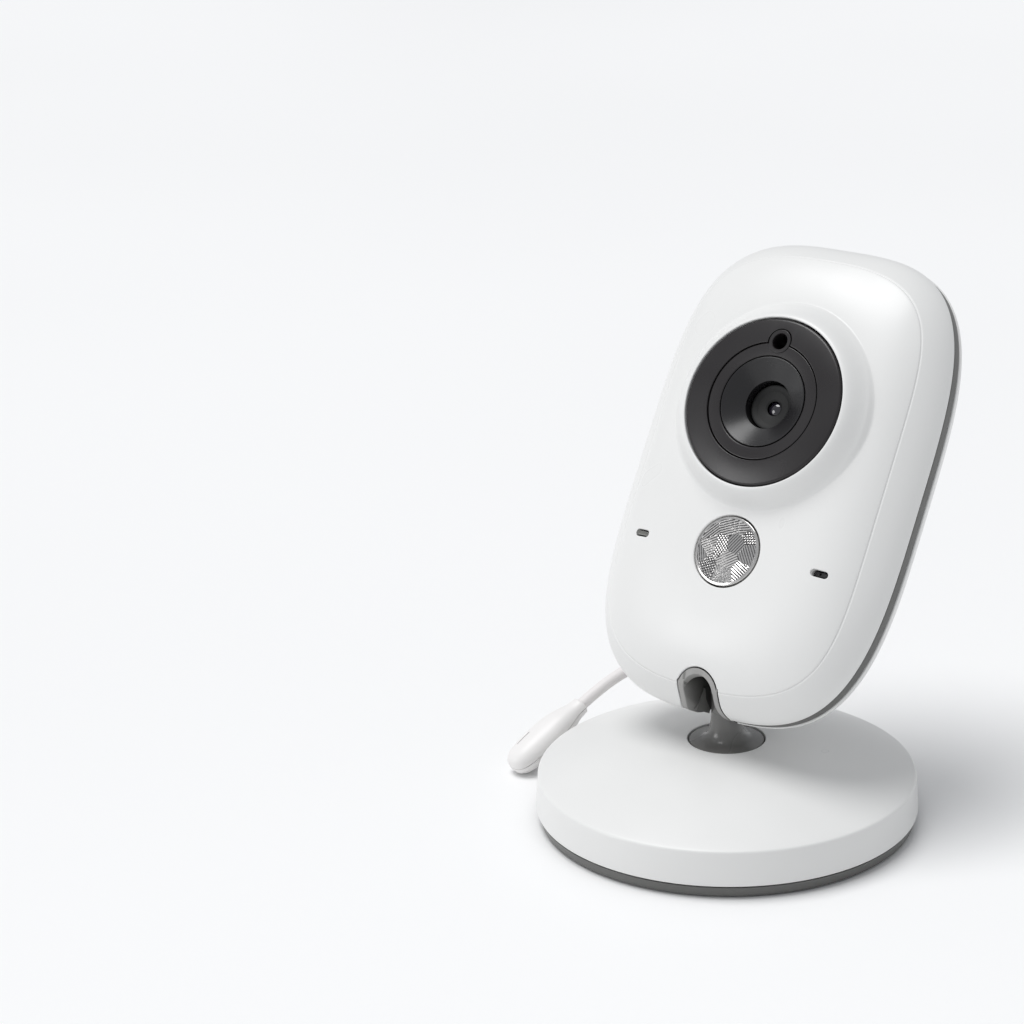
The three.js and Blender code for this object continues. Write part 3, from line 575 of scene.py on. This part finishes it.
# ---- lens ----
def lens_parts():
    front = LENS_RING_FRONT
    body = lathe([
        (LENS_RING_RADIUS, 13.4), (LENS_RING_RADIUS, front - 0.5, 0.6), (GROOVE_RADIUS, front, 0.2),
        (GROOVE_RADIUS, 13.4),
    ], 288, closed=True)
    notch = disc(2.7, 5, 30)
    ring_body = cut(body, moved(notch, Matrix.Translation((0, SENSOR_UP, 0))))
    place(ring_body, "lens_ring", "head", charcoal, HEAD @ facing(0, LENS_Z))

    body = lathe([
        (GROOVE_RADIUS - 0.22, 16.6), (GROOVE_RADIUS - 0.22, front - 0.2, 0.2), (9.8, front - 0.3, 0.1),
        (9.65, front - 0.4), (9.65, 16.6),
    ], 288, closed=True)
    boss = lathe([(2.45, 16.6), (2.45, front - 0.05, 0.12), (1.8, front - 0.05)], 96)
    joined(body, moved(boss, Matrix.Translation((0, SENSOR_UP, 0))))
    eye = lathe([(1.65, 5), (1.65, front - 0.2, 0.1), (1.8, front), (1.8, 30)], 64)
    cut(body, disc(9.65, 5, 30, 288), moved(eye, Matrix.Translation((0, SENSOR_UP, 0))))
    place(body, "lens_disc", "head", charcoal, HEAD @ facing(0, LENS_Z))

    cone = lathe([
        (CONE_RADIUS, front - 0.32, 0.1), (CONE_RADIUS - 0.2, front - 0.36, 0.1),
        (LENS_OPENING + 0.4, front - 2.6, 0.25), (LENS_OPENING, front - 2.85), (LENS_OPENING, front - 7.6),
        (CONE_RADIUS, front - 7.6),
    ], 288, closed=True)
    place(cone, "lens_cone", "head", cone_black, HEAD @ facing(0, LENS_Z))

    steps = [(4.3, 17), (3.4, 16.5, 0.3), (1.9, 16.2, 0.1), (1.5, 16, 0.05), (2.2, 15)]
    barrel = lathe([(4.75, 3.6), (4.75, 17, 0.15), *steps, (2.2, 3.6)], 144, closed=True)
    place(barrel, "lens_barrel", "head", barrel_black, HEAD @ facing(0, LENS_Z))
    crown = [(1.9 * math.cos(t), 14.7 + 1.1 * math.sin(t)) for t in np.linspace(0, 1.5, 14)]
    glass = lathe([(1.9, 12.4), *crown], 96)
    place(glass, "lens_glass", "head", lens_coating, HEAD @ facing(0, LENS_Z), sharp=60)
    crown = [(1.35 * math.cos(t), 15.1 + 0.5 * math.sin(t)) for t in np.linspace(0, 1.5, 8)]
    eye = lathe([(1.35, 13.5), *crown], 64)
    place(eye, "light_sensor", "head", lens_coating, HEAD @ facing(0, LENS_Z + SENSOR_UP))


# ---- face parts ----
# Fields of the prism pattern: the middle across and up, the direction of the ridges in degrees, the share
# of each ridge that gets the painted dark reflection, and whether a second set of ridges crosses the first.
PRISM_FIELDS = [
    (-0.9, 5.3, 25, 0.56, False), (-5.2, 3.5, 48, 0.6, False), (-4.0, 0.6, 30, 0.5, False),
    (-6.3, -1.7, 112, 0.5, False), (-3.5, -4.5, 128, 0.36, True), (0.9, -4.8, 131, 0.32, False),
    (-1.4, 0.9, 62, 0.42, True), (1.8, 1.6, 60, 0.5, False), (1.1, -1.7, 35, 0.42, False),
    (5.1, 0.1, 125, 0.5, False), (4.4, -3.5, 152, 0.5, False), (4.4, 4.2, 118, 0.4, True),
    (2.8, 5.8, 15, 0.5, False),
]
PRISM_PITCH = 0.52
PRISM_DEPTH = 0.16


def prism_side(across, up):
    """For each point of the window: how high its ridge stands, and whether it gets the painted dark
    reflection.
    """
    fields = np.array([field[:4] for field in PRISM_FIELDS])
    crossed = np.array([field[4] for field in PRISM_FIELDS])
    away = (across[..., None] - fields[:, 0]) ** 2 + (up[..., None] - fields[:, 1]) ** 2
    nearest = away.argmin(axis=-1)
    turn, share = np.radians(fields[nearest, 2]), fields[nearest, 3]
    height, painted_dark = 1.0, False
    for extra in (0, np.pi / 2 - 0.25):
        along = across * np.sin(turn + extra) - up * np.cos(turn + extra)
        phase = (along / PRISM_PITCH) % 1
        ridge = np.where(phase < share, phase / share, (1 - phase) / (1 - share))
        used = crossed[nearest] | (extra == 0)
        height = np.where(used, np.minimum(height, ridge), height)
        painted_dark = np.where(used & (phase < share), True, painted_dark)
    return height, painted_dark


def faceted_window():
    """A round window whose front is a mosaic of fields of parallel prisms, each field turned its own way."""
    radius = WINDOW_RADIUS - 0.55
    turns = np.linspace(0, 2 * np.pi, 360, endpoint=False)
    radii = np.linspace(0.1, radius, 90)
    rings = []
    for r in [*radii, WINDOW_RADIUS - 0.5]:
        across, up = r * np.cos(turns), r * np.sin(turns)
        height, _ = prism_side(across, up)
        inside = r <= radius
        lift = 17.98 - 0.5 * (r / WINDOW_RADIUS) ** 2 - (PRISM_DEPTH * (1 - height) if inside else 0.02)
        rings.append(np.column_stack((across, up, lift + 0 * across)))
    rim = rounded([(WINDOW_RADIUS - 0.5, 17.5), (WINDOW_RADIUS, 17.45, 0.3), (WINDOW_RADIUS, 15.4)])
    rings += [np.column_stack((r * np.cos(turns), r * np.sin(turns), h + 0 * turns)) for r, h in rim]
    window = solid(*skin(rings))
    window = place(window, "faceted_window", "head", reflector_painted_bright, HEAD @ facing(0, WINDOW_Z), sharp=12)
    # Painted reflection: facets on one side of each ridge get a dark copy of the reflector, and the rest a
    # bright one.
    window.data.materials.append(reflector_painted_dark)
    to_window = (HEAD @ facing(0, WINDOW_Z)).inverted()
    middles = np.array([to_window @ (face.center * 1000) for face in window.data.polygons])
    _, painted_dark = prism_side(middles[:, 0], middles[:, 1])
    painted_dark &= np.hypot(middles[:, 0], middles[:, 1]) < radius
    window.data.polygons.foreach_set("material_index", painted_dark.astype(np.int32))


def slit_body(x, front, back, lip=0.15):
    """What fills a slit: a bar with round ends and a softened front edge."""
    sizes = [(0, back), (0, front + lip)]
    for turn in np.linspace(0.3, 1.57, 5):
        sizes.append((-lip * (1 - math.cos(turn)), front + lip * (1 - math.sin(turn))))
    made = []
    for grow, y in sizes:
        ring_x, ring_z = stadium(x, SLIT_Z, SLIT_LENGTH, SLIT_HEIGHT, grow)
        made.append(np.column_stack((ring_x, 0 * ring_x + y, ring_z)))
    return solid(*skin(made))


def slit_parts():
    place(slit_body(-SLIT_X, -16.1, -5), "status_light_guide", "head", light_guide)
    seal = slit_body(SLIT_X, -15.6, -12.4)
    cut(seal, moved(disc(0.25, 10, 30, 24), facing(SLIT_X, SLIT_Z)))
    place(seal, "microphone_seal", "head", rubber)


# ---- back of the head ----
def back_parts():
    jack = lathe([
        (4.2, 0.3), (4.2, 9.1, 0.35), (3.1, 9.1, 0.2), (2.7, 8.5), (2.7, 2.6), (0.65, 2.6), (0.65, 8.4, 0.3),
        (0.2, 8.6),
    ], 128)
    place(jack, "power_inlet", "head", black, HEAD @ backing(*JACK))
    button = lathe([
        (1.6, 4.4), (1.6, 6.1), (3.2, 6.1, 0.2), (3.2, 10.35, 0.45), (2.5, 10.35, 0.3), (2.1, 10.1, 0.5),
        (0.3, 10.05),
    ], 96)
    place(button, "pair_button", "button", pale_grey, HEAD @ backing(*BUTTON))
    sleeve = [(3.5, 1.8), (3.5, 3), (2.6, 3), (2.6, 10.4, 0.3)]
    for i in range(4):
        radius, low = 2.42 - 0.12 * i, 10.45 + 0.82 * i
        sleeve += [(radius, low, 0.1), (radius, low + 0.5, 0.12)]
        sleeve += [(radius - 0.35, low + 0.5, 0.1), (radius - 0.35, low + 0.82, 0.1)]
    end = [(1.95, 13.73, 0.1), (1.95, 13.95, 0.1), (1.34, 13.95), (1.34, 12.6), (0.9, 12.6), (0.9, 1.8)]
    gland = lathe([*sleeve, *end], 96, closed=True)
    place(gland, "lead_gland", "head", cream, HEAD @ backing(*GLAND))
    for i, (x, z) in enumerate(SHELL_SCREWS):
        screw = lathe([(1.2, -7), (1.2, 0), (1.9, 0), (1.9, 1.15, 0.3), (0.2, 1.3)], 48)
        cut(screw, slab((-1.2, 1.2), (-0.25, 0.25), (0.6, 3)), slab((-0.25, 0.25), (-1.2, 1.2), (0.61, 3)))
        seat = HEAD @ Matrix.Translation((0, SCREW_SEAT + GAP, 0)) @ backing(x, z)
        place(screw, f"shell_screw_{i + 1}", "head", steel, seat @ Matrix.Rotation(0.4 + i, 4, "Z"))


# ---- neck and base ----
def neck():
    flare = smooth([
        (6.5, 17.2), (5.1, 17.5), (4.2, 18.2), (3.7, 19.1), (3.4, 20.2), (3.2, 21.4), (STEM_RADIUS, 22.6),
    ], 5)
    shank = [(STEM_RADIUS, height) for height in (24, 26, 28, PIVOT_Z)]
    stem = lathe([
        (4.4, 12.4), (4.4, 15.6), (7.6, 15.9), (7.7, 16.98, 0.15), *[tuple(p) for p in flare], *shank,
    ], 192)
    across = Matrix.Translation((0, 0, PIVOT_Z)) @ Matrix.Rotation(math.pi / 2, 4, "Y")
    flat = KNUCKLE_RADIUS - 0.5
    knuckle = lathe([
        (flat, -2.9), (KNUCKLE_RADIUS, -2.9, 0.3), (KNUCKLE_RADIUS, 2.9, 0.3), (flat, 2.9),
    ], 160)
    joined(stem, moved(knuckle, across))
    cut(stem, moved(disc(PIN_HOLE_RADIUS, -9, 9, 64), across), disc(1.1, 5, 15.2, 32))
    place(stem, "neck", "neck", neck_grey, WORLD)


def around(count, radius, start):
    turns = start + np.arange(count) / count * 2 * np.pi
    return [(radius * math.cos(t), radius * math.sin(t)) for t in turns]


def base_cover():
    def dome(radius):
        share = (radius**2 - COLLAR_RADIUS**2) / (BASE_SHOULDER_RADIUS**2 - COLLAR_RADIUS**2)
        return BASE_TOP_Z - (BASE_TOP_Z - BASE_SHOULDER_Z) * share

    outside = [(radius, dome(radius)) for radius in np.linspace(37.6, 8.6, 30)]
    inside = [(radius, dome(radius) - WALL) for radius in np.linspace(20, 36.2, 8)]
    cover = lathe([
        (BASE_RADIUS - WALL, BASE_EDGE_Z), (BASE_RADIUS - 0.02, BASE_EDGE_Z, 0.3),
        (BASE_SHOULDER_RADIUS, BASE_SHOULDER_Z, 0.75), *outside, (COLLAR_RADIUS, BASE_TOP_Z, 0.2),
        (COLLAR_RADIUS, 15.3), (4.7, 15.3), (4.7, 12.4), (8, 12.4), *inside,
        (BASE_SHOULDER_RADIUS - WALL, BASE_SHOULDER_Z - 2.4),
    ], 288, closed=True)
    screws = around(3, SCREW_CIRCLE, math.pi / 2)
    joined(cover, *[moved(disc(3, BASE_EDGE_Z, 14.2, 48), Matrix.Translation((x, y, 0))) for x, y in screws])
    cut(cover, *[moved(disc(1.2, 0, 9, 24), Matrix.Translation((x, y, 0))) for x, y in screws])
    place(cover, "base_cover", "base", white, WORLD)


def base_plate():
    foot = BASE_FOOT_RADIUS
    plate = lathe([(foot - 0.8, 0.4), (foot, 0.4, 0.35), (foot + 0.58, 2.5, 0.12), (foot, 2.5)], 288)
    pockets = [(x, y, 5.3) for x, y in around(4, PAD_CIRCLE, math.pi / 4)] + [(0, 0, 7.3)]
    wells = [moved(lathe([(r, -1), (r, 1.2)], 96), Matrix.Translation((x, y, 0))) for x, y, r in pockets]
    for x, y in around(3, SCREW_CIRCLE, math.pi / 2):
        well = lathe([(1.7, -1), (1.7, 1.5), (1.2, 1.5), (1.2, 9)], 48)
        wells.append(moved(well, Matrix.Translation((x, y, 0))))
    place(cut(plate, *wells), "base_plate", "base", dark_grey, WORLD)


def pad(radius, node, x, y):
    """A rubber foot with a fine ring pressed into its face."""
    face = [
        (radius * 0.72, 0.0), (radius * 0.68, 0.12), (radius * 0.62, 0.12), (radius * 0.58, 0.0), (0.4, 0.0),
    ]
    made = lathe([(0.4, 0.9), (radius, 0.9, 0.15), (radius, 0, 0.25), *face], 96)
    place(made, node, "base", rubber, Matrix.Translation((x, y, 0)))


def base_feet():
    pad(7, "centre_pad", 0, 0)
    for i, (x, y) in enumerate(around(4, PAD_CIRCLE, math.pi / 4)):
        pad(5, f"foot_pad_{i + 1}", x, y)
    for i, (x, y) in enumerate(around(3, SCREW_CIRCLE, math.pi / 2)):
        screw = lathe([(0.3, 0.6), (1.4, 0.6, 0.2), (1.4, 1.2), (0.9, 1.2), (0.9, 8.4, 0.3), (0.3, 8.4)], 48)
        cut(screw, slab((-0.9, 0.9), (-0.2, 0.2), (0, 0.95)), slab((-0.2, 0.2), (-0.9, 0.9), (0, 0.94)))
        place(screw, f"base_screw_{i + 1}", "base", steel, Matrix.Translation((x, y, 0)))


# ---- temperature probe and its lead ----
def probe_place():
    """The probe's own frame: it lies along -y from the lead's end, its wide sides up and down."""
    end, before = Vector(LEAD_ROUTE[-1]), Vector(LEAD_ROUTE[-2])
    heading = (end - before).normalized()
    right = heading.cross(Vector((0, 0, 1))).normalized()
    up = right.cross(heading)
    across = (-heading).cross(up)
    turn = Matrix((across, -heading, up)).transposed().to_4x4()
    return Matrix.Translation(end + heading * GAP) @ turn


def probe_ring(along, width, thickness):
    turns = np.linspace(0, 2 * np.pi, 96, endpoint=False)
    c, s = np.cos(turns), np.sin(turns)
    x = width / 2 * np.sign(c) * np.abs(c) ** 0.85
    z = thickness / 2 * np.sign(s) * np.abs(s) ** 0.85
    return np.column_stack((x, 0 * x - along, z))


def probe_form():
    stations = smooth([
        (0, 0.5, 0.56), (2, 0.55, 0.62), (4, 0.7, 0.78), (6.5, 0.88, 0.94), (9.5, 1, 1), (13, 1, 1),
        (16, 0.96, 0.96), (18.2, 0.85, 0.86), (19.5, 0.66, 0.68), (20.2, 0.4, 0.42),
        (PROBE_LENGTH, 0.05, 0.05),
    ], 8)
    rings = [probe_ring(-0.25, 3.5, 3.1)]
    for along, wide, thick in stations:
        rings.append(probe_ring(along, PROBE_WIDTH * wide, PROBE_THICKNESS * thick))
    return solid(*skin(rings))


def probe_half(side, node):
    gap = 0.07
    low, high = sorted((side * gap, side * 10))
    half = common(probe_form(), slab((-10, 10), (-40, 10), (low, high)))
    lying = Matrix.Translation((0, -9.5, 0)) @ Matrix.Rotation(-math.pi / 2, 4, "X")
    cut(half, moved(disc(1.35, -7.2, 3, 48), lying))
    if side > 0:
        along, across = stadium(-14.4, -1.3, 3.8, 0.36)
        cut(half, solid(*skin([np.column_stack((across, along, 0 * along + z)) for z in (2.6, 4)])))
    return place(half, node, "head", cream, probe_place(), sharp=40)


def probe_lead():
    """The free lead from the gland to the probe, drawn as a round curve along its route."""
    curve = bpy.data.curves.new("probe_lead_detailed", "CURVE")
    curve.dimensions = "3D"
    line = smooth(LEAD_ROUTE, 5) * 0.001
    spline = curve.splines.new("POLY")
    spline.points.add(len(line) - 1)
    for point, spot in zip(spline.points, line):
        point.co = (*spot, 1)
    curve.bevel_depth = LEAD_DIAMETER / 2000
    curve.bevel_resolution = 8
    curve.use_fill_caps = True
    spline.use_smooth = True
    curve.materials.append(cord_cream)
    made = bpy.data.objects.new("probe_lead_detailed", curve)
    bpy.context.scene.collection.objects.link(made)
    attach(made, "head")
    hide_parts("probe_lead")
    halves = [probe_half(1, "probe_shell_upper"), probe_half(-1, "probe_shell_lower")]


# ---- materials ----
# In metres, as Blender measures.
RELIEF_DEPTH = 0.00002
# How far the painted shade in hollows looks for surfaces round about.
PAINTED_SHADE_REACH = 0.012


def tinted(colour, factor):
    return (*[min(1.0, channel * factor) for channel in colour], 1)


def paint_hollow_shade(nodes, links, source, target, colour):
    """Painted shade: passes a colour on, going over to a second, dark one where the surface lies deep
    in a hollow, as ambient occlusion finds it.
    """
    openness = nodes.new("ShaderNodeAmbientOcclusion")
    openness.inputs["Distance"].default_value = PAINTED_SHADE_REACH
    openness.samples = 8
    shade = nodes.new("ShaderNodeMapRange")
    shade.inputs["From Min"].default_value = 0.15
    shade.inputs["From Max"].default_value = 0.7
    mix = nodes.new("ShaderNodeMix")
    mix.data_type = "RGBA"
    mix.inputs["A"].default_value = (*colour, 1)
    links.new(openness.outputs["AO"], shade.inputs["Value"])
    links.new(shade.outputs["Result"], mix.inputs["Factor"])
    links.new(source, mix.inputs["B"])
    links.new(mix.outputs["Result"], target)


def finish(
    name, slot, colour, roughness, metallic=0.0, grain=2600, bump=0.25, cloud=70, spread=0.06, shift=0.04,
    coat=0.0, painted_hollow_shade=None,
):
    """A moulded or machined surface: fine grain in its relief, and slow changes in its gloss and colour."""
    material = bpy.data.materials.new(name)
    material["slot"] = slot
    material.use_nodes = True
    nodes, links = material.node_tree.nodes, material.node_tree.links
    shader = nodes["Principled BSDF"]
    shader.inputs["Metallic"].default_value = metallic
    shader.inputs["Coat Weight"].default_value = coat
    shader.inputs["Coat Roughness"].default_value = 0.12
    place_in = nodes.new("ShaderNodeTexCoord")

    def noise(scale, detail):
        node = nodes.new("ShaderNodeTexNoise")
        node.inputs["Scale"].default_value = scale
        node.inputs["Detail"].default_value = detail
        links.new(place_in.outputs["Object"], node.inputs["Vector"])
        return node.outputs["Fac"]

    def ranged(source, low, high):
        node = nodes.new("ShaderNodeMapRange")
        node.interpolation_type = "SMOOTHSTEP"
        node.inputs["From Min"].default_value = 0.2
        node.inputs["From Max"].default_value = 0.8
        node.inputs["To Min"].default_value = low
        node.inputs["To Max"].default_value = high
        links.new(source, node.inputs["Value"])
        return node.outputs["Result"]

    slow = noise(cloud, 1)
    links.new(ranged(slow, roughness - spread, roughness + spread), shader.inputs["Roughness"])
    mix = nodes.new("ShaderNodeMix")
    mix.data_type = "RGBA"
    mix.inputs["A"].default_value = tinted(colour, 1 - shift)
    mix.inputs["B"].default_value = tinted(colour, 1 + shift)
    links.new(noise(cloud * 0.6, 1), mix.inputs["Factor"])
    links.new(mix.outputs["Result"], shader.inputs["Base Color"])
    # Painted shade: deep in hollows the colour goes over to a dark one.
    if painted_hollow_shade:
        paint_hollow_shade(nodes, links, mix.outputs["Result"], shader.inputs["Base Color"], painted_hollow_shade)
    relief = nodes.new("ShaderNodeBump")
    relief.inputs["Strength"].default_value = bump
    relief.inputs["Distance"].default_value = RELIEF_DEPTH
    links.new(noise(grain, 3), relief.inputs["Height"])
    links.new(relief.outputs["Normal"], shader.inputs["Normal"])
    return material


white = finish("white_satin", "white_shell", (0.785, 0.785, 0.775), 0.33, grain=3200, bump=0.12, shift=0.012)
cream = finish("probe_satin", "cream_plastic", (0.83, 0.815, 0.805), 0.38, grain=3000, bump=0.15, shift=0.015)
cord_cream = finish(
    "lead_sheath", "cream_plastic", (0.78, 0.755, 0.75), 0.5, grain=2400, bump=0.3, shift=0.02
)
dark_grey = finish("dark_grey_satin", "grey_plastic", (0.12, 0.12, 0.115), 0.42, grain=2600, bump=0.3)
neck_grey = finish("neck_satin", "grey_plastic", (0.15, 0.148, 0.142), 0.3, grain=2600, bump=0.2, coat=0.2)
pale_grey = finish("pale_grey_satin", "pale_grey_plastic", (0.34, 0.335, 0.325), 0.42, grain=2600, bump=0.25)
light_guide = finish(
    "milky_grey", "pale_grey_plastic", (0.13, 0.13, 0.12), 0.25, grain=900, bump=0.2, coat=0.5
)
# The liner's plastic, with painted shade deep inside the slot.
liner_grey = finish(
    "liner_satin", "pale_grey_plastic", (0.36, 0.355, 0.345), 0.42, grain=2600, bump=0.25,
    painted_hollow_shade=(0.03, 0.029, 0.027),
)
# A darker copy of the liner's plastic for the rib: painted shade.
rib_painted_shade_grey = finish("rib_satin_painted_shade", "pale_grey_plastic", (0.2, 0.198, 0.19), 0.42, grain=2600, bump=0.25)
charcoal = finish("charcoal_satin", "charcoal_plastic", (0.014, 0.012, 0.013), 0.3, grain=2800, bump=0.2)
cone_black = finish("cone_satin", "charcoal_plastic", (0.012, 0.0115, 0.0125), 0.26, grain=2800, bump=0.12)
barrel_black = finish("barrel_matt", "black_plastic", (0.003, 0.003, 0.003), 0.6, grain=2400, bump=0.3)
black = finish("black_satin", "black_plastic", (0.008, 0.007, 0.008), 0.4, grain=2400, bump=0.3)
lens_coating = finish(
    "coated_glass", "dark_glass", (0.012, 0.01, 0.016), 0.04, grain=500, bump=0.02, spread=0.01, coat=1.0
)
# Bright and dark copies of one reflector for the window's facets: painted reflection.
reflector_painted_bright = finish(
    "prism_painted_bright", "silver_reflector", (0.6, 0.59, 0.58), 0.16, metallic=0.85, grain=900, bump=0.06,
    cloud=500, shift=0.08,
)
reflector_painted_dark = finish(
    "prism_painted_dark", "silver_reflector", (0.05, 0.048, 0.05), 0.22, metallic=0.4, grain=900, bump=0.06,
    cloud=500, shift=0.3,
)
steel = finish("zinc_steel", "steel", (0.6, 0.6, 0.59), 0.32, metallic=1.0, grain=1500, bump=0.4, spread=0.1)
iron = finish("cast_iron", "iron", (0.11, 0.11, 0.115), 0.62, metallic=0.85, grain=700, bump=1.0, spread=0.12)
rubber = finish("black_rubber", "rubber", (0.02, 0.02, 0.02), 0.78, grain=1800, bump=0.8, shift=0.15)
board = finish(
    "solder_mask", "circuit_board", (0.012, 0.09, 0.035), 0.4, grain=1500, bump=0.5, cloud=260, shift=0.35
)
resin = finish("lamp_resin", "lamp_resin", (0.05, 0.03, 0.055), 0.12, grain=400, bump=0.1, coat=0.6)

# CAD parts whose shape stays as it is.
KEPT = {
    iron: ["ballast_weight"],
    steel: [
        "swivel_washer", "swivel_screw", "tilt_pin", "tilt_washer_left", "tilt_washer_right", "tilt_nut",
        "microphone",
    ],
    black: ["lens_holder", "window_holder", "speaker", "pair_switch", "thermistor"],
    board: ["main_board", "infrared_board", "antenna_board"],
    resin: ["image_sensor", "window_lamp", *[f"infrared_lamp_{i + 1}" for i in range(6)]],
}


def keep_nodes():
    for material, names in KEPT.items():
        for name in names:
            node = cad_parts[name]
            node.data.materials.clear()
            node.data.materials.append(material)


# ---- studio ----
def camera():
    data = bpy.data.cameras.new("camera")
    data.lens = 110.75
    data.sensor_width = 36
    data.clip_start = 0.01
    made = bpy.data.objects.new("camera", data)
    made.location = (0.3272, -0.49539, 0.28141)
    made.rotation_euler = [math.radians(angle) for angle in (70.139, 1.351, 37.095)]
    bpy.context.scene.collection.objects.link(made)
    bpy.context.scene.camera = made


def wide_light(name, toward, strength, spread):
    """A far, wide light that shines from the given direction and is equally strong everywhere."""
    data = bpy.data.lights.new(name, "SUN")
    data.energy = strength
    data.angle = math.radians(spread)
    made = bpy.data.objects.new(name, data)
    made.rotation_euler = Vector(toward).to_track_quat("Z", "Y").to_euler()
    bpy.context.scene.collection.objects.link(made)


def studio():
    world = bpy.data.worlds.new("studio")
    world.use_nodes = True
    world.node_tree.nodes["Background"].inputs["Color"].default_value = (0.95, 0.97, 1, 1)
    world.node_tree.nodes["Background"].inputs["Strength"].default_value = 0.5
    bpy.context.scene.world = world
    bpy.context.scene.view_settings.view_transform = "Standard"
    wide_light("key", (-0.25, -0.15, 0.95), 1.75, 35)
    wide_light("front", (-0.57, -0.78, 0.27), 0.44, 22)
    data = bpy.data.meshes.new("floor")
    reach = 12
    corners = [(-reach, -reach, 0), (reach, -reach, 0), (reach, reach, 0), (-reach, reach, 0)]
    data.from_pydata(corners, [], [(0, 1, 2, 3)])
    floor = bpy.data.objects.new("floor", data)
    bpy.context.scene.collection.objects.link(floor)
    floor.data.materials.append(
        finish("pale_floor", "", (0.93, 0.93, 0.93), 0.5, grain=300, bump=0.05, cloud=3, shift=0.005)
    )


camera()
probe_lead()
front_shell()
rear_shell()
trim_band()
slot_liner()
lens_parts()
faceted_window()
slit_parts()
back_parts()
neck()
base_cover()
base_plate()
base_feet()
keep_nodes()
studio()
